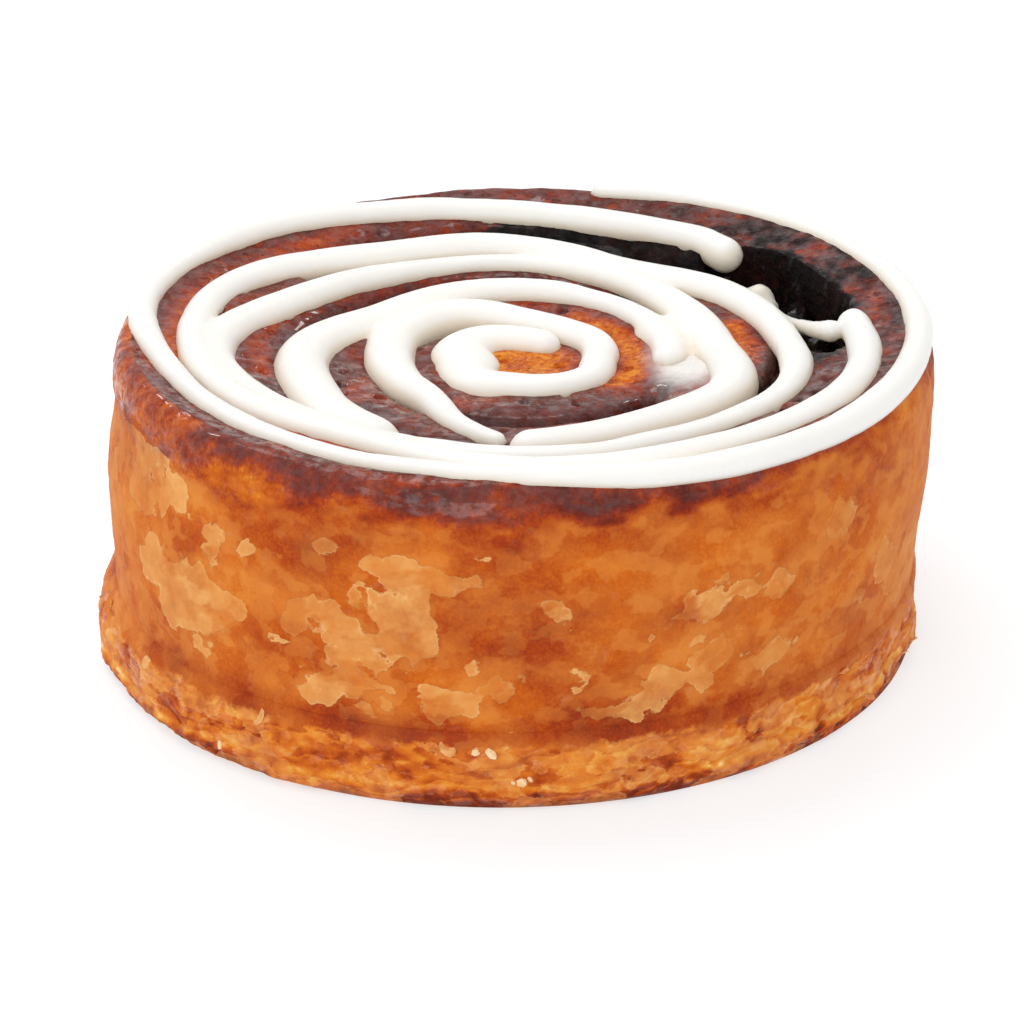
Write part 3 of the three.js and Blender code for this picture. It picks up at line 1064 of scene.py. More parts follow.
@dataclass(frozen=True)
class OrangeArc:
    """An arc of the top where the paler crumb shows."""

    deg_from: float
    deg_to: float
    radius: float
    half_wide: float
    amount: float


@dataclass(frozen=True)
class Film:
    """A thin film of smeared icing on the top: where its middle is, and its reach round and outwards."""

    deg: float
    radius: float
    along: float
    across: float


@dataclass(frozen=True)
class TopPlaces:
    """What the relief and the fields of the rolled top come from, a value for each point."""

    x: Array
    y: Array
    r: Array
    points: Array
    gap: Array
    turns: Array
    hollow: Array
    film: Array
    inner: Array
    bare: Array
    pores: Array


@dataclass
class Dough:
    """The baked body: wall, shoulder and rolled top in one skin."""

    sizes: PastrySizes = SIZES
    columns: int = 440
    base_rows: int = 4
    foot_rows: int = 6
    wall_rows: int = 62
    shoulder_rows: int = 28
    top_rows: int = 124
    flake_rise: float = 0.1
    flake_end: Pair = (35.0, 37.5)
    shards: int = 4
    scraps: int = 3
    wall_wave: float = 0.18
    left_tuck: float = 0.5
    left_tuck_at: Pair = (24.0, 8.0)
    shoulder_lump: float = 0.17
    shoulder_lump_from: Pair = (33.0, 37.0)
    top_lump: float = 0.28
    crevice_deep: float = 1.6
    crevice_open: float = 2.4
    rim_wide: Pair = (7.0, 1.0)
    core_wide: Pair = (2.0, 6.0)
    hollow_torn: float = 0.9
    pores: int = 150
    pores_within: float = 45.5
    pore_size: Pair = (0.7, 0.6)
    pore_deep: float = 0.6
    seed: int = 11
    flakes: list[Flake] = field(default_factory=lambda: [*FRONT_FLAKES, *flakes_behind()])
    orange: tuple[OrangeArc, ...] = (
        OrangeArc(-28, 62, 14.3, 2.4, 0.41), OrangeArc(-22, 14, 27.2, 2.2, 0.42),
        OrangeArc(-180, 180, 3.0, 4.5, 0.44), OrangeArc(148, 192, 41.0, 2.2, 0.24),
        OrangeArc(152, 192, 31.0, 1.6, 0.16), OrangeArc(215, 246, 37.6, 2.4, 0.26),
        OrangeArc(-16, 24, 45.0, 1.6, 0.14), OrangeArc(120, 150, 41.0, 1.6, 0.12),
    )
    films: tuple[Film, ...] = (Film(-1.5, 20.8, 12.0, 5.2), Film(127.0, 30.0, 6.0, 1.6))
    wall_bake: float = 0.27
    wall_darkest: float = 0.57
    top_bake: float = 0.59
    burnt_at: Pair = (28.0, 38.0)
    burnt_from: Pair = (33.0, 38.0)
    wet_red: Triple = (11.0, 40.6, 2.6)
    ooze_past: float = 1.8
    ooze_wide: float = 3.2
    ooze_beyond: Pair = (29.0, 31.0)
    ooze_from: Pair = (30.0, 44.0)
    ooze_to: Pair = (82.0, 108.0)

    def profile(self) -> tuple[Array, Array, Array]:
        """Rows of the skin, from the middle of the base to the middle of the top.

        Returns:
            Radius, height and zone of every row.
        """
        s = self.sizes
        tucked = s.base_radius - 1.0
        rows: list[tuple[float, float, Zone]] = []
        rows += [(tucked * i / self.base_rows, 0.0, Zone.BASE) for i in range(self.base_rows)]
        tuck = s.foot_height - 2.0
        rows += [(tucked, tuck * i / self.foot_rows, Zone.TUCK) for i in range(self.foot_rows)]
        low, high = s.foot_height - 1.5, s.height - s.shoulder_tall
        for i in range(self.wall_rows):
            z = low + (high - low) * i / self.wall_rows
            rows.append((float(s.wall(z)), z, Zone.WALL))
        for i in range(self.shoulder_rows):
            t = math.pi / 2 * i / self.shoulder_rows
            radius = s.crest_radius + s.shoulder_wide * math.cos(t)
            rows.append((radius, s.height - s.shoulder_tall * (1 - math.sin(t)), Zone.SHOULDER))
        for i in range(self.top_rows + 1):
            radius = s.crest_radius * (1 - i / self.top_rows)
            rows.append((radius, float(s.top(radius)), Zone.TOP))
        data = np.array(rows, float)
        return data[:, 0], data[:, 1], data[:, 2].astype(int)

    def flake_field(self, angle: Array, z: Array, points: Array, grain: Grain) -> tuple[Array, Array]:
        """Pale flakes of the wall, each a few torn shards with loose scraps round them.

        Args:
            angle: Angle of each point.
            z: Height of each point.
            points: Places of the points before their relief.
            grain: Noise of the dough.

        Returns:
            A field that is over 0.5 inside a flake, and how pale the flake is there.
        """
        rng = np.random.default_rng(self.seed + 7)
        cover = np.zeros(angle.shape)
        tone = np.full(angle.shape, 0.6)
        warp = []
        for shift in (210.0, 260.0):
            coarse = grain.layered(points + shift, (4.5, 4.5, 3.5), 4)
            warp.append(1.3 * coarse + 0.5 * grain.layered(points - shift, 1.3, 2))
        for flake in self.flakes:
            turn = angle - math.radians(flake.deg)
            across = np.arctan2(np.sin(turn), np.cos(turn)) * self.sizes.wall_radius + warp[0]
            up = z - flake.z + warp[1]
            for i in range(self.shards + self.scraps):
                loose = i >= self.shards
                cx, cy = rng.uniform(-0.75, 0.75, 2) * (flake.wide, flake.tall) * (1.0 if loose else 0.42)
                half = rng.uniform(0.2, 0.36, 2) * (flake.wide, flake.tall) * (0.35 if loose else 1.0)
                edge = np.full(angle.shape, -99.0)
                for k in range(6):
                    t = (k + rng.uniform(-0.38, 0.38)) * math.pi / 3
                    reach = rng.uniform(0.7, 1.15) * math.hypot(half[0] * math.cos(t), half[1] * math.sin(t))
                    edge = np.maximum(edge, (across - cx) * math.cos(t) + (up - cy) * math.sin(t) - reach)
                here = np.clip(0.5 - 0.3 * edge, 0.0, 1.0)
                pale = flake.pale * rng.uniform(0.3, 1.0)
                tone = np.where((here > 0.2) & (here >= cover), pale, tone)
                cover = np.maximum(cover, here)
        return cover, tone

    def seam_gap(self, x: Array, y: Array) -> tuple[Array, Array]:
        """Nearest turn of the seam.

        Args:
            x: Place of each point to the right.
            y: Place of each point to the back.

        Returns:
            Distance to it, and how many turns along the seam that is.
        """
        s = self.sizes
        deg, radius = s.swirl(x, y)
        first = ((s.seam_start_deg - deg) / 360.0) % 1.0
        gap = np.full(x.shape, 99.0)
        along = np.zeros(x.shape)
        for k in range(3):
            turns = first + k
            here = radius - s.seam_radius(turns)
            nearer = (np.abs(here) < np.abs(gap)) & (turns < s.seam_turns)
            gap = np.where(nearer, here, gap)
            along = np.where(nearer, turns, along)
        return gap, along

    def pore_relief(self, x: Array, y: Array) -> Array:
        """Round pores of the top.

        Args:
            x: Place of each point to the right.
            y: Place of each point to the back.

        Returns:
            Depth at each point.
        """
        rng = np.random.default_rng(self.seed + 3)
        size = self.pore_size[0] + self.pore_size[1] * rng.random(self.pores) ** 3
        radius = self.pores_within * np.sqrt(rng.random(self.pores))
        angle = rng.uniform(0, 2 * math.pi, self.pores)
        middle_x, middle_y = self.sizes.swirl_x + radius * np.cos(angle), radius * np.sin(angle)
        depth = np.zeros(x.size)
        px, py = x.ravel(), y.ravel()
        for cx, cy, wide in zip(middle_x, middle_y, size):
            near = np.flatnonzero((np.abs(px - cx) < wide) & (np.abs(py - cy) < wide))
            q = ((px[near] - cx) ** 2 + (py[near] - cy) ** 2) / wide**2
            depth[near] = np.maximum(depth[near], self.pore_deep * wide * np.clip(1.0 - q, 0.0, 1.0) ** 0.7)
        return depth.reshape(x.shape)

    def film_field(self, x: Array, y: Array) -> Array:
        """Thin films of smeared icing on the top.

        Args:
            x: Place of each point to the right.
            y: Place of each point to the back.

        Returns:
            How much film covers each point.
        """
        film = np.zeros(x.shape)
        for patch in self.films:
            cx, cy = self.sizes.polar(patch.deg, patch.radius)
            ax, ay = math.cos(math.radians(patch.deg)), math.sin(math.radians(patch.deg))
            dx, dy = x - cx, y - cy
            off = np.hypot((dx * ax + dy * ay) / patch.across, (dy * ax - dx * ay) / patch.along)
            film = np.maximum(film, 1.0 - ease(off, 0.4, 1.3))
        return film

    def wall_relief(self, angle: Array, z: Array, points: Array, cover: Array, grain: Grain) -> Array:
        """Outward relief of the wall and the shoulder.

        Args:
            angle: Angle of each point.
            z: Height of each point.
            points: Places of the points before their relief.
            cover: Field of the flakes.
            grain: Noise of the dough.

        Returns:
            Millimetres outwards.
        """
        s = self.sizes
        wave = self.wall_wave * grain.layered(points, (16.0, 16.0, 12.0), 3)
        wave = wave + 0.05 * grain.layered(points, 2.0, 2)
        creases = grain.layered(points + 70.0, (5.0, 5.0, 0.9), 2)
        wrinkle = grain.layered(points, (4.0, 4.0, 2.4), 3) + 0.7 * creases
        lump = self.shoulder_lump * wrinkle * ease(z, *self.shoulder_lump_from)
        level, tall = self.left_tuck_at
        tuck = self.left_tuck * np.maximum(0.0, -np.cos(angle)) ** 2 * bell(z - level, tall)
        out = wave + self.flake_rise * ease(cover, 0.42, 0.6) + lump - s.left_soft(angle, z) - tuck
        return ease(z, s.foot_height, s.foot_height + 3) * out

    def top_places(self, x: Array, y: Array, r: Array, points: Array, grain: Grain) -> TopPlaces:
        """Work out where each point of the top lies in the swirl.

        Args:
            x: Place of each point to the right.
            y: Place of each point to the back.
            r: Distance of each point from the middle of the top.
            points: Places of the points before their relief.
            grain: Noise of the dough.

        Returns:
            What the relief and the fields come from.
        """
        s = self.sizes
        gap, turns = self.seam_gap(x, y)
        ragged = 0.2 * grain.layered(points + 33.0, 5.0, 3) + 0.28 * grain.layered(points + 61.0, 2.2, 2)
        hollow = s.hollow(x, y)
        hollow = np.where(hollow > -0.6, hollow + ragged, hollow)
        film = self.film_field(x, y)
        bare = 1.0 - ease(film, 0.0, 0.4)
        inner = 1.0 - ease(r, s.crest_radius - self.rim_wide[0], s.crest_radius - self.rim_wide[1])
        pores = self.pore_relief(x, y) * inner * bare
        return TopPlaces(x, y, r, points, gap, turns, hollow, film, inner, bare, pores)

    def top_drop(self, top: TopPlaces, grain: Grain) -> Array:
        """Relief of the rolled top: its seam, pores, lumps and hollow.

        Args:
            top: Where the points lie.
            grain: Noise of the dough.

        Returns:
            Millimetres down.
        """
        s = self.sizes
        open_back = ease(top.turns, -0.02, 0.03) * (1.0 - ease(top.turns, 0.30, 0.40))
        deep = self.crevice_deep + self.crevice_open * open_back
        crevice = deep * bell(top.gap, 1.0 + 0.7 * open_back)
        sag = s.roll_sag * np.clip(1.0 - np.abs(top.gap) / (s.seam_pitch / 2), 0.0, 1.0) ** 2
        core = ease(top.r, *self.core_wide)
        rough = self.top_lump * grain.layered(top.points, 7.0, 3) + 0.06 * grain.layered(top.points, 1.4, 2)
        drop = core * top.inner * top.bare * (crevice + sag) + top.pores - rough * core
        torn = grain.layered(top.points + 33.0, (4.0, 4.0, 3.0), 3) * ease(top.hollow, 0.0, 0.3)
        sunk = s.hollow_deep * np.maximum(top.hollow, 0.0) + self.hollow_torn * torn
        return np.where(top.hollow > 0.0, np.maximum(drop, sunk), drop)

    def build(self) -> Piece:
        """Build the skin and the fields that its finish reads.

        Returns:
            The piece.
        """
        s = self.sizes
        grain = Grain(self.seed)
        radius, height, zone = self.profile()
        r, a, z = turned_grid(radius, height, self.columns)
        kind = np.repeat(zone[:, None], self.columns, 1)
        x, y = r * np.cos(a), r * np.sin(a)
        points = np.stack([x, y, z], -1)
        lean = s.lean(z)
        on_shoulder, on_top = kind == Zone.SHOULDER, kind == Zone.TOP
        upright = on_shoulder | (kind == Zone.WALL)

        cover, tone = self.flake_field(a, z, points, grain)
        cover = cover * upright * (1.0 - ease(z, *self.flake_end))
        out = np.where(upright, self.wall_relief(a, z, points, cover, grain), 0.0)
        top = self.top_places(x + lean, y, r, points, grain)
        drop = np.where(on_top, self.top_drop(top, grain), 0.0)

        rounded = np.clip((z - (s.height - s.shoulder_tall)) / s.shoulder_tall, 0.0, 1.0)
        slope = np.where(on_shoulder, rounded, 0.0)
        scale = 1.0 + out * (1.0 - slope) / np.maximum(r, 1e-6)
        places = np.stack([x * scale + lean, y * scale, z - drop + out * slope], -1)
        fields = {"flake": cover, "flake_tone": tone} | self.wall_fields(a, z, points, grain)
        for name, grid in self.top_fields(top, grain).items():
            fields[name] = np.where(on_top, grid, fields[name])
        return self.skin(places, fields)

    def wall_fields(self, angle: Array, z: Array, points: Array, grain: Grain) -> dict[str, Array]:
        """Bake, film, glaze and pores of the wall and the shoulder.

        Args:
            angle: Angle of each point.
            z: Height of each point before its relief.
            points: Places of the points before their relief.
            grain: Noise of the dough.

        Returns:
            Each field by name.
        """
        s = self.sizes
        patch = grain.layered(points + 17.0, (11.0, 11.0, 8.0), 3)
        crumbs = grain.layered(points + 50.0, (2.6, 2.6, 1.3), 3)
        uneven = grain.layered(points + 5.0, (8.0, 8.0, 3.0), 2) + 0.55 * crumbs
        right, left = np.maximum(0.0, np.cos(angle)), np.maximum(0.0, -np.cos(angle))
        front = np.maximum(0.0, -np.sin(angle))
        skin = z + 1.5 * uneven - 1.5 * ease(right, 0.2, 0.8)
        shade = ease(skin, 35.5, 37.7) * (1.0 - 0.2 * left**2)
        line = bell(z - s.foot_height - 0.4, 1.8)
        blotch = grain.layered(points + 90.0, (4.0, 4.0, 2.2), 3)
        # The front and side terms are painted light. The wall is a little darker at the front and paler
        # towards the left and right edges, a painted sheen where the glazed wall is seen at a grazing angle.
        bake = self.wall_bake + 0.07 * patch + 0.06 * front**2 - 0.1 * left**2 - 0.1 * right**2
        bake = bake + 0.08 * ease(skin, 29.0, 35.5)
        bake = bake + 0.15 * shade + 0.1 * line + 0.16 * blotch * ease(skin, 33.0, 36.0)
        bake = np.clip(np.minimum(bake, self.wall_darkest), 0.0, 1.0)
        porous = 0.8 * ease(skin + 1.2 * left, 34.8, 38.0)
        glaze = 0.03 + 0.75 * shade
        return {"bake": bake, "film": np.zeros(z.shape), "glaze": glaze, "porous": porous}

    def open_crumb(self, deg: Array, away: Array, patch: Array) -> Array:
        """Paler crumb that shows along the arcs of the top.

        Args:
            deg: Angle of each point about the swirl.
            away: Distance of each point from the middle of the swirl.
            patch: Noise that makes it patchy.

        Returns:
            How much of it shows.
        """
        found = np.zeros(deg.shape)
        for arc in self.orange:
            middle, half = 0.5 * (arc.deg_from + arc.deg_to), 0.5 * (arc.deg_to - arc.deg_from)
            turn = np.abs((deg - middle + 180.0) % 360.0 - 180.0) - half
            past = np.maximum(turn, 0.0) * np.radians(1.0) * np.maximum(away, 1.0)
            inside = bell(np.hypot(away - arc.radius, past), arc.half_wide)
            found = np.maximum(found, arc.amount * inside * (1.0 + 0.35 * patch))
        return found

    def oozed(self, deg: Array, away: Array, gap: Array, patch: Array) -> Array:
        """Dark filling that has oozed over the seam at the back.

        Args:
            deg: Angle of each point about the swirl.
            away: Distance of each point from the middle of the swirl.
            gap: Distance of each point to the seam.
            patch: Noise that makes it patchy.

        Returns:
            How much of it covers each point.
        """
        ooze = bell(gap - self.ooze_past, self.ooze_wide) * ease(away, *self.ooze_beyond)
        ooze = ooze * ease(deg, *self.ooze_from) * (1.0 - ease(deg, *self.ooze_to)) * (1.0 + 0.4 * patch)
        return ease(ooze, 0.25, 0.6)

    def top_fields(self, top: TopPlaces, grain: Grain) -> dict[str, Array]:
        """Bake, film, glaze and pits of the rolled top.

        Args:
            top: Where the points lie.
            grain: Noise of the dough.

        Returns:
            Each field by name.
        """
        s = self.sizes
        patch = grain.layered(top.points + 17.0, 6.0, 4)
        deg, away = s.swirl(top.x, top.y)
        burnt = 0.6 * bell(deg - self.burnt_at[0], self.burnt_at[1]) * ease(top.r, *self.burnt_from)
        charred = grain.layered(top.points + 29.0, 2.4, 3)
        crumb = self.open_crumb(deg, away, patch)
        ooze = self.oozed(deg, away, top.gap, patch)
        edge = ease(top.hollow + 0.5 * charred, -1.0, -0.15)
        cx, cy = s.polar(*self.wet_red[:2])
        red = bell(np.hypot(top.x - cx, top.y - cy), self.wet_red[2]) * ease(top.hollow, -0.1, 0.1)

        bake = self.top_bake + 0.1 * patch + 0.24 * bell(top.gap, 1.7) + burnt * (0.34 + 0.6 * charred)
        # Darker in the deeper pores of the top: painted shade inside them.
        bake = bake - crumb + 0.2 * ease(top.pores, 0.15, 0.6)
        bake = np.maximum(np.maximum(bake, ooze), 1.1 * edge)
        glaze = (0.85 - 1.5 * crumb - 0.4 * ease(top.pores, 0.1, 0.4)) * (1.0 - 0.6 * ooze)
        glaze = glaze * (1.0 - 0.7 * burnt * ease(charred, 0.0, 0.4)) * (1.0 - 0.5 * edge)
        glaze = np.clip(np.where(top.hollow > -0.1, np.minimum(glaze, 0.03), glaze), 0.03, 1.0)
        return {
            "bake": np.clip(bake - 0.22 * red, 0.0, 1.0), "film": top.film, "glaze": glaze + 0.4 * red,
            "porous": np.ones(top.r.shape),
        }

    def skin(self, places: Array, fields: dict[str, Array]) -> Piece:
        """Close the grid of rows and columns into one skin.

        Args:
            places: Points by row and column.
            fields: Values by row and column.

        Returns:
            The piece.
        """
        rows, cols = places.shape[:2]
        inner = places[1:-1].reshape(-1, 3)
        corners = np.arange((rows - 2) * cols).reshape(rows - 2, cols)
        bottom, top = len(inner), len(inner) + 1
        first, last = corners[0], corners[-1]
        faces = quads_round(corners[:-1], corners[1:])
        faces += [(bottom, int(first[(j + 1) % cols]), int(first[j])) for j in range(cols)]
        faces += [(top, int(last[j]), int(last[(j + 1) % cols])) for j in range(cols)]
        points = np.vstack([inner, places[0].mean(0), places[-1].mean(0)])
        values = {}
        for name, grid in fields.items():
            values[name] = np.concatenate([grid[1:-1].ravel(), [grid[0].mean(), grid[-1].mean()]])
        return mesh_object("dough_crust", points, faces, values)

    def dress(self, obj: Piece, finish: Finish) -> None:
        """Give the piece its finish and its place in the frame."""
        obj.data.materials.append(finish.material)
        set_in_frame(obj, "dough")


@dataclass
class FlakyFoot:
    """The flaky foot: a ring of torn sheets and blisters around the base."""

    sizes: PastrySizes = SIZES
    columns: int = 1040
    rows: int = 88
    inner_radius: float = 45.5
    top: float = 9.7
    proud: float = -0.15
    ruffle: float = 0.6
    ruffle_waves: tuple[int, ...] = (5, 9, 16, 23)
    ruffle_shift: float = 1.9
    ruffle_rise: float = 0.35
    ledge: float = 2.7
    ledge_wander: float = 0.8
    ledge_deep: float = 0.4
    blister_deep: float = 0.42
    shingle_deep: float = 0.15
    sunk: float = 0.2
    fade_in: Pair = (0.0, 0.8)
    fade_out: Pair = (6.6, 9.2)
    golden_below: float = 7.9
    seed: int = 41

    def profile(self) -> tuple[Array, Array]:
        """Rows of the closed section.

        Returns:
            Radius and height of every row.
        """
        s = self.sizes
        t = np.linspace(-math.pi / 2, math.pi / 2, self.rows)
        joined = float(s.wall(self.top)) + self.proud
        r = s.base_radius + (joined - s.base_radius) * ease(t, -1.0, 1.5)
        r = r + (s.foot_radius - s.base_radius) * np.cos(t)
        z = self.top / 2 * (1 + np.sin(t))
        hidden_r = [joined - 1.0, self.inner_radius, self.inner_radius]
        hidden_z = [self.top, self.top - 1.5, 0.0]
        return np.concatenate([r, hidden_r]), np.concatenate([z, hidden_z])

    def relief(self, angle: Array, z: Array, points: Array) -> tuple[Array, Array]:
        """Outward relief of the torn crust, and a tone for each place: the crust's own layers, with painted
        shade and highlight on them.

        Args:
            angle: Angle of each point.
            z: Height of each point.
            points: Places of the points before the relief.

        Returns:
            The relief in millimetres, and a tone from 0 to 1. Painted light makes blister tops paler and the
            gaps between them darker. A painted highlight runs along the ledge and a painted shadow along the
            floor. The layer below the ledge is darker crust.
        """
        s = self.sizes
        grain = Grain(self.seed)
        shifts = [n * angle + i * self.ruffle_shift for i, n in enumerate(self.ruffle_waves)]
        waves = sum(np.sin(shift + z * self.ruffle_rise) for shift in shifts) / len(self.ruffle_waves)
        swell = s.foot_left_swell * np.maximum(0.0, -np.cos(angle)) ** 2
        swell = swell - s.foot_right_tuck * np.maximum(0.0, np.cos(angle)) ** 2
        around = points * (1.0, 1.0, 0.0)
        ledge = self.ledge + self.ledge_wander * grain.layered(around, 15.0, 3)
        below = 1.0 - ease(z, ledge - 0.3, ledge + 0.3)
        bubbles = np.abs(grain.layered(points + 60.0, (8.5, 8.5, 4.6), 3))
        blister = np.clip(1.6 * bubbles, 0.0, 1.0) ** 0.65
        fine = grain.layered(points + 80.0, (1.5, 1.5, 0.9), 3)
        layer = grain.layered(points + 20.0, (6.0, 6.0, 0.9), 3)
        shingle = (1.5 * grain.layered(points + 120.0, (7.0, 7.0, 3.0), 3) + 0.3 * z) % 1.0
        out = self.ledge_deep * below + self.blister_deep * (blister - 0.55) * (1.0 - 0.7 * below)
        out = out + (0.12 + 0.08 * below) * fine + 0.14 * layer * below
        out = out + self.shingle_deep * (shingle - 0.5) * (1.0 - 0.5 * below) - self.sunk
        # Painted light in the foot's tone: blister tops paler and the gaps darker, a painted highlight on
        # the ledge and a painted shadow along the floor. The layer below the ledge is darker crust, and
        # shingles and grain vary the tone at random.
        edge = 0.44 + 0.24 * (blister - 0.6) - 0.16 * below + 0.22 * bell(z - ledge - 0.1, 0.5) + 0.14 * fine
        edge = edge - 0.25 * bell(z, 0.9) + 0.2 * (shingle - 0.5) + 0.05 * ease(shingle, 0.78, 0.95)
        fade = ease(z, *self.fade_in) * (1.0 - ease(z, *self.fade_out))
        return fade * (self.ruffle * waves + swell + out), np.clip(edge, 0.0, 1.0)

    def build(self, dough: Dough) -> Piece:
        """Build the ring.

        Args:
            dough: The dough whose bake goes on above the foot.

        Returns:
            The piece.
        """
        radius, height = self.profile()
        r, a, z = turned_grid(radius, height, self.columns)
        points = np.stack([r * np.cos(a), r * np.sin(a), z], -1)
        out, edge = self.relief(a, z, points)
        outside = np.arange(len(radius))[:, None] < self.rows
        r = r + np.where(outside, out, 0.0)
        places = np.stack([r * np.cos(a) + self.sizes.lean(z), r * np.sin(a), z], -1)
        cells = np.arange(r.size).reshape(r.shape)
        fields = {"foot_tone_and_painted_light": edge, "foot": np.clip(0.5 + 0.3 * (self.golden_below - z), 0.0, 1.0)}
        fields["bake"] = dough.wall_fields(a, z, points, Grain(dough.seed))["bake"]
        return mesh_object("flaky_foot", places, quads_round(cells, np.roll(cells, -1, 0)), fields)

    def dress(self, obj: Piece, finish: Finish) -> None:
        """Give the piece its finish and its place in the frame."""
        obj.data.materials.append(finish.material)
        set_in_frame(obj, "dough")


@dataclass(frozen=True)
class Lump:
    """A lump in the pool of filling: where it is, the height of its middle and its radius."""

    deg: float
    radius: float
    z: float
    size: float


@dataclass
class Filling:
    """The fruit filling: a wall along the seam and a lumpy pool in the hollow."""

    sizes: PastrySizes = SIZES
    thick: float = 2.2
    floor: float = 4.0
    recess: float = 1.4
    steps: int = 420
    crest: tuple[Pair, ...] = ((-0.5, -0.8), (-0.3, -0.15), (0.0, 0.1), (0.3, -0.15), (0.5, -0.8))
    crest_rough: float = 0.6
    pool_steps: tuple[int, int] = (90, 36)
    pool_thick: float = 3.0
    pool_reach: float = 0.94
    pool_rough: float = 0.5
    lump_swell: float = 1.6
    lumps: tuple[Lump, ...] = (
        Lump(6.0, 37.6, 34.6, 2.6), Lump(12.0, 35.8, 34.4, 2.0), Lump(20.0, 34.4, 34.6, 2.1),
        Lump(25.0, 39.0, 33.2, 2.3), Lump(1.0, 36.4, 34.4, 1.8), Lump(34.0, 36.0, 32.6, 2.2),
        Lump(43.0, 37.0, 34.0, 1.9),
    )
    seed: int = 23

    def seam_wall(self) -> tuple[Array, list]:
        """Wall of filling along the seam.

        Returns:
            Its points and faces.
        """
        s = self.sizes
        grain = Grain(self.seed)
        turns = np.linspace(0.0, s.seam_turns, self.steps)
        deg = s.seam_start_deg - 360.0 * turns
        middle = s.seam_radius(turns)
        crest = s.top(middle) - s.roll_sag - self.recess
        section = [(self.crest[0][0], None), *self.crest, (self.crest[-1][0], None)]
        rows = []
        for across, rise in section:
            x, y = s.polar(deg, middle + across * self.thick)
            z = np.full_like(x, self.floor) if rise is None else crest + rise
            rough = grain.layered(np.stack([x, y, z], -1), 2.6, 2)
            rows.append(np.stack([x, y, z + (0.0 if rise is None else self.crest_rough) * rough], -1))
        points = np.stack(rows, 1)
        return points.reshape(-1, 3), ring_faces(self.steps, len(section))

    def pool(self) -> tuple[Array, list]:
        """Filling that lies in the hollow.

        Returns:
            Its points and faces.
        """
        s = self.sizes
        grain = Grain(self.seed + 1)
        n, m = self.pool_steps
        deg = np.linspace(s.hollow_from_deg - 2.0, s.hollow_to_deg + 2.0, n)
        off = np.linspace(-self.pool_reach, self.pool_reach, m) * s.hollow_half_wide
        d, o = np.meshgrid(deg, off, indexing="ij")
        x, y = s.polar(d, s.hollow_radius + o)
        level = np.full_like(x, s.pool_level - 0.4)
        for lump in self.lumps:
            cx, cy = s.polar(lump.deg, lump.radius)
            q = ((x - cx) ** 2 + (y - cy) ** 2) / lump.size**2
            swell = lump.size * np.sqrt(np.clip(1.0 - q, 0.0, 1.0)) * self.lump_swell
            level = np.maximum(level, np.where(q < 1.0, lump.z - lump.size + swell, 0.0))
        flat = np.stack([x, y, np.zeros_like(x)], -1)
        level = level + self.pool_rough * grain.layered(flat, 2.4, 3)
        top = np.stack([x, y, level], -1).reshape(-1, 3)
        under = np.stack([x, y, np.full_like(x, s.pool_level - self.pool_thick)], -1).reshape(-1, 3)
        count = n * m
        cells = np.arange(count).reshape(n, m)
        quads = np.stack([cells[:-1, :-1], cells[:-1, 1:], cells[1:, 1:], cells[1:, :-1]], -1).reshape(-1, 4)
        faces = quads[:, ::-1].tolist() + (quads + count).tolist()
        edge = np.concatenate([cells[0, :-1], cells[:-1, -1], cells[-1, :0:-1], cells[:0:-1, 0]]).tolist()
        faces += [(p, q, q + count, p + count) for p, q in zip(edge, edge[1:] + edge[:1])]
        return np.vstack([top, under]), faces

    def build(self) -> Piece:
        """Build the wall and the pool as one piece.

        Returns:
            The piece.
        """
        wall, faces = self.seam_wall()
        pool, pool_faces = self.pool()
        faces += [[corner + len(wall) for corner in face] for face in pool_faces]
        obj = mesh_object("fruit_filling", np.vstack([wall, pool]), faces)
        face_outwards(obj.data)
        return obj

    def dress(self, obj: Piece, finish: Finish) -> None:
        """Give the piece its finish and its place in the frame."""
        obj.data.materials.append(finish.material)
        set_in_frame(obj, "filling")


@dataclass(frozen=True)
class Stroke:
    """One piped line: radii every step and widths every wide step, clockwise from its start."""

    start: float
    radii: tuple[float, ...]
    wides: tuple[float, ...]
    droop_end: float = 0.0


@dataclass(frozen=True)
class Bead:
    """A bead of the loose drop: where it is, its rise above the filling and its radius."""

    deg: float
    radius: float
    rise: float
    size: float


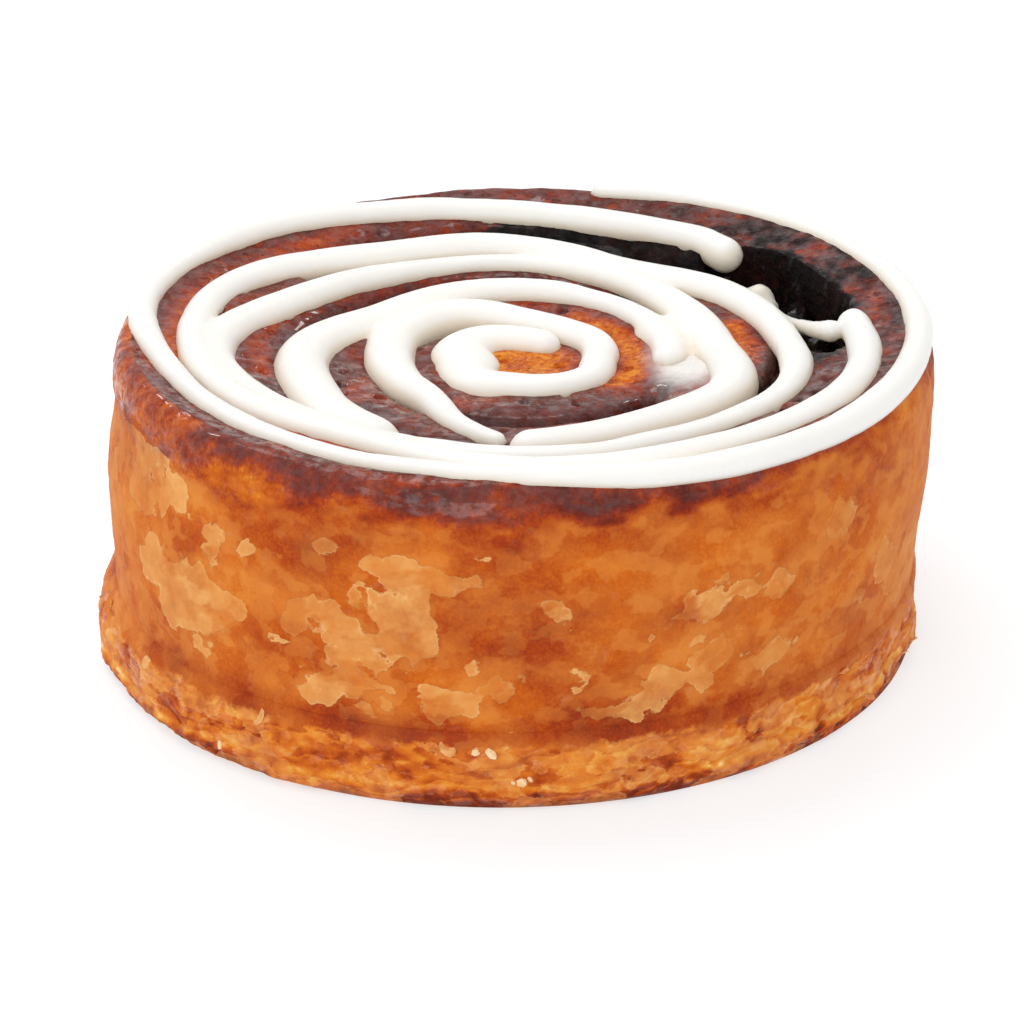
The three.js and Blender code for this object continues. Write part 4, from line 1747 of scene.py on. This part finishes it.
@dataclass
class Icing:
    """Piped icing: beads along each line, fused and smoothed."""

    sizes: PastrySizes = SIZES
    step: float = 30.0
    wide_step: float = 90.0
    tall: float = 1.95
    full_wide: float = 4.2
    spacing: float = 0.45
    voxel: float = 0.45
    threshold: float = 0.1
    smoothing: int = 4
    thin_below: Pair = (0.1, 1.1)
    seed: int = 31
    strokes: tuple[Stroke, ...] = (
        Stroke(
            76, (46.5, 48, 48.5, 48.5, 48.5, 47.5, 44.5, 42.5, 42.5, 46.5, 46, 42.5, 39.5, 39),
            (2.5, 3.5, 3, 3.5, 4, 4), 0.5),
        Stroke(
            2, (41, 44, 44, 43.5, 36, 37.5, 39, 39, 34, 32.5, 28.5, 30.5, 32.5, 36,
                36, 37, 34.5, 35, 36.5, 31.5, 29, 28.5, 26.5, 24.5, 24.5, 28.5, 28, 30),
            (4, 4.5, 4, 4.5, 4, 3.5, 5, 3, 5.5, 4.5)),
        Stroke(236, (31, 27, 25.5, 21, 21, 21, 20, 19, 18.5), (8, 5.5, 3.5, 4.5)),
        Stroke(
            265, (27.5, 17, 15, 15.5, 17, 16.5, 12.5, 11, 11, 10, 10.5, 9.5, 8, 8, 6.5, 6, 8, 8, 7, 6.5),
            (2.5, 6, 4.5, 4.5, 5, 9, 4.5, 4.5)),
    )
    bridge_beads: int = 22
    bridge_deg: Pair = (12.5, -13.0)
    bridge_radius: Pair = (33.2, 5.0)
    bridge_size: Pair = (0.55, 0.9)
    bridge_rise: float = 0.3
    bridge_sag: float = 0.7
    smear_beads: int = 30
    smear_deg: float = 26.0
    smear_radii: Triple = (18.8, 21.4, 24.0)
    smear_size: float = 2.8
    smear_rise: Triple = (1.2, 1.5, 1.6)
    drop_beads: tuple[Bead, ...] = (
        Bead(35.0, 37.5, 2.0, 2.0), Bead(37.5, 37.2, 1.5, 1.6),
        Bead(32.0, 37.4, 1.4, 1.5), Bead(35.5, 36.4, 1.5, 1.6),
    )

    @staticmethod
    def curve(given: tuple[float, ...], t: Array) -> Array:
        """Smooth curve through given numbers.

        Args:
            given: The numbers, one for each whole step.
            t: Steps along the curve.

        Returns:
            The curve's value at each step.
        """
        known = np.array(given)
        padded = np.concatenate([[2 * known[0] - known[1]], known, [2 * known[-1] - known[-2]]])
        i = np.minimum(np.floor(t).astype(int), len(known) - 2)
        f = t - i
        a, b, c, d = (padded[i + k] for k in range(4))
        return b + 0.5 * ((c - a) * f + (2 * a - 5 * b + 4 * c - d) * f**2 + (3 * b - a - 3 * c + d) * f**3)

    def beads(self, stroke: Stroke, grain: Grain) -> tuple[Array, Array]:
        """Beads along one line.

        Args:
            stroke: The line.
            grain: Noise that makes it uneven.

        Returns:
            Centres in millimetres and radii.
        """
        s = self.sizes
        t = np.linspace(0.0, len(stroke.radii) - 1, 6000)
        x, y = s.polar(stroke.start - self.step * t, self.curve(stroke.radii, t))
        wide = self.curve(stroke.wides, t * self.step / self.wide_step)
        run = np.concatenate([[0.0], np.cumsum(np.hypot(np.diff(x), np.diff(y)))])
        place = np.arange(0.0, run[-1], self.spacing)
        x, y, wide = (np.interp(place, run, v) for v in (x, y, wide))
        uneven = grain.layered(np.stack([x, y, np.zeros_like(x)], -1), 9.0, 2)
        size = wide / 2 * (1.05 + 0.06 * uneven)
        crest = self.tall * np.minimum(1.0, size / (self.full_wide / 2)) * (1.0 + 0.05 * uneven)
        hang = stroke.droop_end * ease(place, run[-1] - 5.0, run[-1])
        size = size * (1.0 + 0.25 * hang)
        z = s.top_under(x, y) + crest - size - hang
        return np.stack([x, y, z], -1), size

    def bridge(self) -> tuple[Array, Array]:
        """Beads of the tongue of icing that spans the edge of the hollow.

        Returns:
            Centres in millimetres and radii.
        """
        t = np.linspace(0.0, 1.0, self.bridge_beads)
        spans = (self.bridge_deg, self.bridge_radius, self.bridge_size)
        deg, radius, size = (start + more * t for start, more in spans)
        x, y = self.sizes.polar(deg, radius)
        sag = self.bridge_sag * np.sin(math.pi * t)
        return np.stack([x, y, self.sizes.top_under(x, y) + self.bridge_rise - sag], -1), size

    def smear(self) -> tuple[Array, Array]:
        """Flat beads of icing dragged into a thin sheet between two lines on the right.

        Returns:
            Centres in millimetres and radii.
        """
        t, radius = np.meshgrid(np.linspace(0.0, 1.0, self.smear_beads), self.smear_radii)
        x, y = self.sizes.polar(self.smear_deg - self.smear_deg * t, radius)
        size = np.full(t.shape, self.smear_size)
        start, fall, power = self.smear_rise
        z = self.sizes.top_under(x, y) + (start - fall * t**power) - size
        return np.stack([x, y, z], -1).reshape(-1, 3), size.ravel()

    def loose_drop(self) -> tuple[Array, Array]:
        """Beads of the drop of icing in the hollow.

        Returns:
            Centres in millimetres and radii.
        """
        rows = [(bead.deg, bead.radius, bead.rise, bead.size) for bead in self.drop_beads]
        deg, radius, rise, size = np.array(rows).T
        x, y = self.sizes.polar(deg, radius)
        return np.stack([x, y, self.sizes.pool_level + rise], -1), size

    def tree(self) -> Tree:
        """Geometry Nodes that fuse beads into smooth icing.

        Returns:
            The tree.
        """
        takes = {
            "Geometry": SocketKind.SHAPE, "Voxel Size": SocketKind.VALUE, "Threshold": SocketKind.VALUE,
            "Smoothing": SocketKind.WHOLE, "Finish": SocketKind.FINISH,
        }
        sheet = new_tree("piped_icing", TreeKind.SHAPE, takes, {"Geometry": SocketKind.SHAPE})
        given = sheet.add("NodeGroupInput").outputs
        size = sheet.named("bead_radius")
        points = sheet.add("GeometryNodeMeshToPoints", {"Mesh": given["Geometry"], "Radius": size})
        beads = {"Points": points.outputs["Points"], "Voxel Size": given["Voxel Size"], "Radius": size}
        volume = sheet.add("GeometryNodePointsToVolume", beads, resolution_mode="VOXEL_SIZE")
        fused = {"Volume": volume.outputs["Volume"], "Threshold": given["Threshold"]}
        mesh = sheet.add("GeometryNodeVolumeToMesh", fused, resolution_mode="GRID").outputs["Mesh"]
        at = sheet.add("GeometryNodeInputPosition").outputs["Position"]
        rounds = {"Iterations": given["Smoothing"]}
        soft = sheet.add("GeometryNodeBlurAttribute", rounds, data_type="FLOAT_VECTOR")
        sheet.feed(next(k for k in soft.inputs if k.enabled and k.type == "VECTOR"), at)
        smooth = next(k for k in soft.outputs if k.enabled and k.type == "VECTOR")
        moved = sheet.add("GeometryNodeSetPosition", {"Geometry": mesh, "Position": smooth})
        shaded = sheet.add("GeometryNodeSetShadeSmooth", {"Geometry": moved.outputs["Geometry"]})
        return sheet.end_shape(shaded.outputs["Geometry"], given["Finish"])

    def fuse(self, name: str, parts: list[tuple[Array, Array]], finish: Finish, tree: Tree) -> Piece:
        """Fuse beads into one piece and note where it runs thin.

        Args:
            name: Name of the piece.
            parts: Centres and radii of the beads, part by part.
            finish: Finish of the icing.
            tree: The fusing tree.

        Returns:
            The piece.
        """
        centres, radii = np.vstack([at for at, _ in parts]), np.concatenate([size for _, size in parts])
        obj = mesh_object(name, centres, [], {"bead_radius": radii * MM})
        run_nodes(obj, tree, {
            "Voxel Size": self.voxel * MM, "Threshold": self.threshold, "Smoothing": self.smoothing,
            "Finish": finish.material,
        })
        x, y, z = points_of(obj.data).T
        add_values(obj.data, "thin", 1.0 - ease(z - self.sizes.top_under(x, y), *self.thin_below))
        return obj

    def build(self, finish: Finish) -> tuple[Piece, Piece]:
        """Build the piped lines and the loose drop.

        Args:
            finish: Finish of the icing.

        Returns:
            The lines and the drop.
        """
        grain = Grain(self.seed)
        tree = self.tree()
        parts = [self.beads(stroke, grain) for stroke in self.strokes] + [self.bridge(), self.smear()]
        lines = self.fuse("piped_icing", parts, finish, tree)
        return lines, self.fuse("drop_of_icing", [self.loose_drop()], finish, tree)

    def dress(self, lines: Piece, drop: Piece) -> None:
        """Place both pieces in the frame."""
        set_in_frame(lines, "icing")
        set_in_frame(drop, "icing_drop")


class CrumbShape(Enum):
    """Shapes of the small loose pieces."""

    CHIP = "chip"
    GRAIN = "grain"


@dataclass(frozen=True)
class CrumbKind:
    """One kind of small loose piece on the crust."""

    name: str
    shape: CrumbShape
    density: float
    low: float
    high: float
    flatness: float
    seed: int


@dataclass
class Crumbs:
    """Loose flakes and crumbs scattered on the foot."""

    sizes: PastrySizes = SIZES
    kinds: tuple[CrumbKind, ...] = (
        CrumbKind("foot_flakes", CrumbShape.CHIP, 9000.0, 0.4, 1.1, 0.14, 7),
        CrumbKind("pale_crumbs", CrumbShape.GRAIN, 700000.0, 0.3, 0.8, 0.8, 9),
    )
    spots: tuple[Pair, ...] = ((265.5, 7.4), (268.0, 3.9), (270.6, 3.6), (228.0, 2.4), (240.0, 1.6))
    spot_wide: float = 0.8
    ledge_from: Pair = (0.8, 2.0)
    ledge_to: Pair = (8.2, 9.6)
    chip_bend: float = 0.35

    @staticmethod
    def chance(sheet: NodeSheet, low: Triple, high: Triple, seed: object) -> Socket:
        """A random vector for each point."""
        given = {"Min": low, "Max": high, "Seed": seed}
        return sheet.add("FunctionNodeRandomValue", given, data_type="FLOAT_VECTOR").outputs[0]

    def chip(self, sheet: NodeSheet, flatness: Socket) -> Socket:
        """Shape of one crumb: a coarse ball, pressed flat and bent.

        Args:
            sheet: Sheet of the scattering tree.
            flatness: How tall the crumb is for its width.

        Returns:
            The shape.
        """
        ball = sheet.add("GeometryNodeMeshIcoSphere", {"Radius": 1.0, "Subdivisions": 1}).outputs["Mesh"]
        at = sheet.add("GeometryNodeInputPosition").outputs["Position"]
        parts = sheet.add("ShaderNodeSeparateXYZ", {"Vector": at}).outputs
        bend = sheet.math("MULTIPLY", sheet.math("POWER", parts["X"], 2.0), self.chip_bend)
        thin = sheet.math("ADD", sheet.math("MULTIPLY", parts["Z"], flatness), bend)
        pressed = sheet.add("ShaderNodeCombineXYZ", {"X": parts["X"], "Y": parts["Y"], "Z": thin})
        given = {"Geometry": ball, "Position": pressed.outputs["Vector"]}
        return sheet.add("GeometryNodeSetPosition", given).outputs["Geometry"]

    def tree(self) -> Tree:
        """Geometry Nodes that scatter chips or grains over a surface.

        Returns:
            The tree.
        """
        takes = {
            "Geometry": SocketKind.SHAPE, "Density": SocketKind.VALUE, "Low": SocketKind.VALUE,
            "High": SocketKind.VALUE, "Flatness": SocketKind.VALUE, "Seed": SocketKind.WHOLE,
            "Finish": SocketKind.FINISH,
        }
        sheet = new_tree("scattered_crumbs", TreeKind.SHAPE, takes, {"Geometry": SocketKind.SHAPE})
        given = sheet.add("NodeGroupInput").outputs
        seed = given["Seed"]
        dense = sheet.math("MULTIPLY", given["Density"], sheet.named("scatter"))
        ground = {"Mesh": given["Geometry"], "Density": dense, "Seed": seed}
        spread = sheet.add("GeometryNodeDistributePointsOnFaces", ground, distribute_method="RANDOM").outputs
        spin = self.chance(sheet, (-0.5, -0.5, -3.14), (0.5, 0.5, 3.14), seed)
        turns = {"Rotation": spread["Rotation"], "Rotate By": spin}
        turn = sheet.add("FunctionNodeRotateRotation", turns, rotation_space="LOCAL").outputs["Rotation"]
        sizes = {2: given["Low"], 3: given["High"], "Seed": seed}
        size = sheet.add("FunctionNodeRandomValue", sizes, data_type="FLOAT").outputs[1]
        uneven = self.chance(sheet, (0.6, 0.5, 0.6), (1.3, 1.0, 1.2), 3)
        scale = sheet.add("ShaderNodeVectorMath", {0: uneven, "Scale": size}, operation="SCALE")
        laid = {"Points": spread["Points"], "Instance": self.chip(sheet, given["Flatness"])}
        laid |= {"Rotation": turn, "Scale": scale.outputs["Vector"]}
        placed = sheet.add("GeometryNodeInstanceOnPoints", laid).outputs["Instances"]
        return sheet.end_shape(placed, given["Finish"])

    def places(self, mesh: bpy.types.Mesh, shape: CrumbShape) -> Array:
        """Where on the foot the crumbs of a shape lie.

        Args:
            mesh: Mesh of the foot.
            shape: The shape.

        Returns:
            Share of the crumbs that each point takes.
        """
        x, y, z = points_of(mesh).T
        outer = np.hypot(x, y) > self.sizes.base_radius
        if shape is CrumbShape.CHIP:
            return np.where(outer, ease(z, *self.ledge_from) * (1.0 - ease(z, *self.ledge_to)), 0.0)
        deg = np.degrees(np.arctan2(y, x)) % 360.0
        share = np.zeros(x.shape)
        for at_deg, level in self.spots:
            turn = np.radians((deg - at_deg + 180.0) % 360.0 - 180.0) * self.sizes.foot_radius
            share = np.maximum(share, bell(np.hypot(turn, z - level), self.spot_wide))
        return np.where(outer, share * (share > 0.05), 0.0)

    def build(self, foot: Piece, finishes: dict[CrumbShape, Finish]) -> list[Piece]:
        """Scatter every kind over the foot.

        Args:
            foot: The foot's piece.
            finishes: Finish of each shape.

        Returns:
            One piece for each kind.
        """
        tree = self.tree()
        pieces = []
        for kind in self.kinds:
            mesh = foot.data.copy()
            add_values(mesh, "scatter", self.places(mesh, kind.shape))
            obj = link_piece(kind.name, mesh)
            run_nodes(obj, tree, {
                "Density": kind.density, "Low": kind.low * MM, "High": kind.high * MM,
                "Flatness": kind.flatness, "Seed": kind.seed, "Finish": finishes[kind.shape].material,
            })
            pieces.append(obj)
        return pieces

    def dress(self, pieces: list[Piece]) -> None:
        """Place every kind in the frame."""
        for obj in pieces:
            set_in_frame(obj)


@dataclass(frozen=True)
class Lamp:
    """A soft square lamp: place and side in millimetres, power in watts."""

    name: str
    at: Triple
    size: float
    power: float


@dataclass
class Studio:
    """Floor, light and camera."""

    lens: float = 157.1
    sensor: float = 36.0
    nearest: float = 10.0
    distance: float = 550.0
    elevation: float = 24.335
    target: Triple = (-0.27, 0.0, 14.94)
    roll: float = -0.91
    floor_half: float = 3000.0
    sky: float = 0.82
    lamps: tuple[Lamp, ...] = (
        Lamp("lamp_over", (-150.0, 250.0, 700.0), 420.0, 1.5),
        Lamp("lamp_front", (-300.0, -700.0, 420.0), 500.0, 1.6),
        Lamp("lamp_glint_right", (190.0, 480.0, 430.0), 70.0, 0.16),
        Lamp("lamp_glint_left", (-280.0, 420.0, 400.0), 70.0, 0.16),
    )
    lamps_face: Triple = (0.0, 0.0, 20.0)

    def camera(self) -> None:
        """Place the camera at the viewing angle of the photograph."""
        e = math.radians(self.elevation)
        back = Vector((0.0, -math.cos(e), math.sin(e)))
        target = Vector(self.target) * MM
        data = bpy.data.cameras.new("camera")
        data.lens = self.lens
        data.sensor_width = self.sensor
        data.clip_start = self.nearest * MM
        cam = bpy.data.objects.new("camera", data)
        look = (-back).to_track_quat("-Z", "Y").to_matrix().to_4x4()
        turn = look @ Matrix.Rotation(math.radians(self.roll), 4, "Z")
        cam.matrix_world = Matrix.Translation(target + back * self.distance * MM) @ turn
        bpy.context.scene.collection.objects.link(cam)
        bpy.context.scene.camera = cam

    def floor(self, finish: Finish) -> None:
        """Lay the floor.

        Args:
            finish: Finish of the floor.
        """
        h = self.floor_half
        corners = np.array([(-h, -h, 0), (h, -h, 0), (h, h, 0), (-h, h, 0)])
        obj = mesh_object("floor", corners, [(0, 1, 2, 3)])
        obj.data.materials.append(finish.material)

    def light(self) -> None:
        """Set the white surroundings and the soft lamps."""
        scene = bpy.context.scene
        scene.view_settings.view_transform = "Standard"
        world = bpy.data.worlds.new("studio")
        world.use_nodes = True
        sheet = NodeSheet(world.node_tree)
        sky = sheet.add("ShaderNodeBackground", {"Color": (1.0, 1.0, 1.0), "Strength": self.sky})
        sheet.add("ShaderNodeOutputWorld", {"Surface": sky.outputs["Background"]})
        scene.world = world
        for lamp in self.lamps:
            self.hang(lamp)

    def hang(self, lamp: Lamp) -> None:
        """Hang a lamp so that it faces the pastry.

        Args:
            lamp: The lamp.
        """
        data = bpy.data.lights.new(lamp.name, "AREA")
        data.size = lamp.size * MM
        data.energy = lamp.power
        obj = bpy.data.objects.new(lamp.name, data)
        place = Vector(lamp.at) * MM
        look = (Vector(self.lamps_face) * MM - place).to_track_quat("-Z", "Y")
        obj.matrix_world = Matrix.Translation(place) @ look.to_matrix().to_4x4()
        bpy.context.scene.collection.objects.link(obj)


def report(obj: Piece) -> None:
    """Log a finished piece and its face count."""
    LOG.info("%s: %d faces", obj.name, len(obj.data.polygons))


def main() -> None:
    """Build the studio and the pastry, piece by piece."""
    logging.basicConfig(level=logging.INFO, format="%(name)s %(message)s")
    effects = SharedEffects()
    studio = Studio()
    studio.camera()
    studio.floor(PaleFloor(effects))
    studio.light()

    dough = Dough()
    crust = dough.build()
    dough.dress(crust, BakedDough(effects))
    report(crust)

    foot = FlakyFoot()
    ring = foot.build(dough)
    foot.dress(ring, FlakyCrust(effects))
    report(ring)

    filling = Filling()
    jam = filling.build()
    filling.dress(jam, FruitFilling(effects))
    report(jam)

    icing = Icing()
    lines, drop = icing.build(SugarIcing(effects))
    icing.dress(lines, drop)
    report(lines)
    report(drop)

    crumbs = Crumbs()
    loose = crumbs.build(ring, {CrumbShape.CHIP: LooseFlake(effects), CrumbShape.GRAIN: PaleCrumb(effects)})
    crumbs.dress(loose)
    for piece in loose:
        report(piece)


if __name__ == "__main__":
    main()
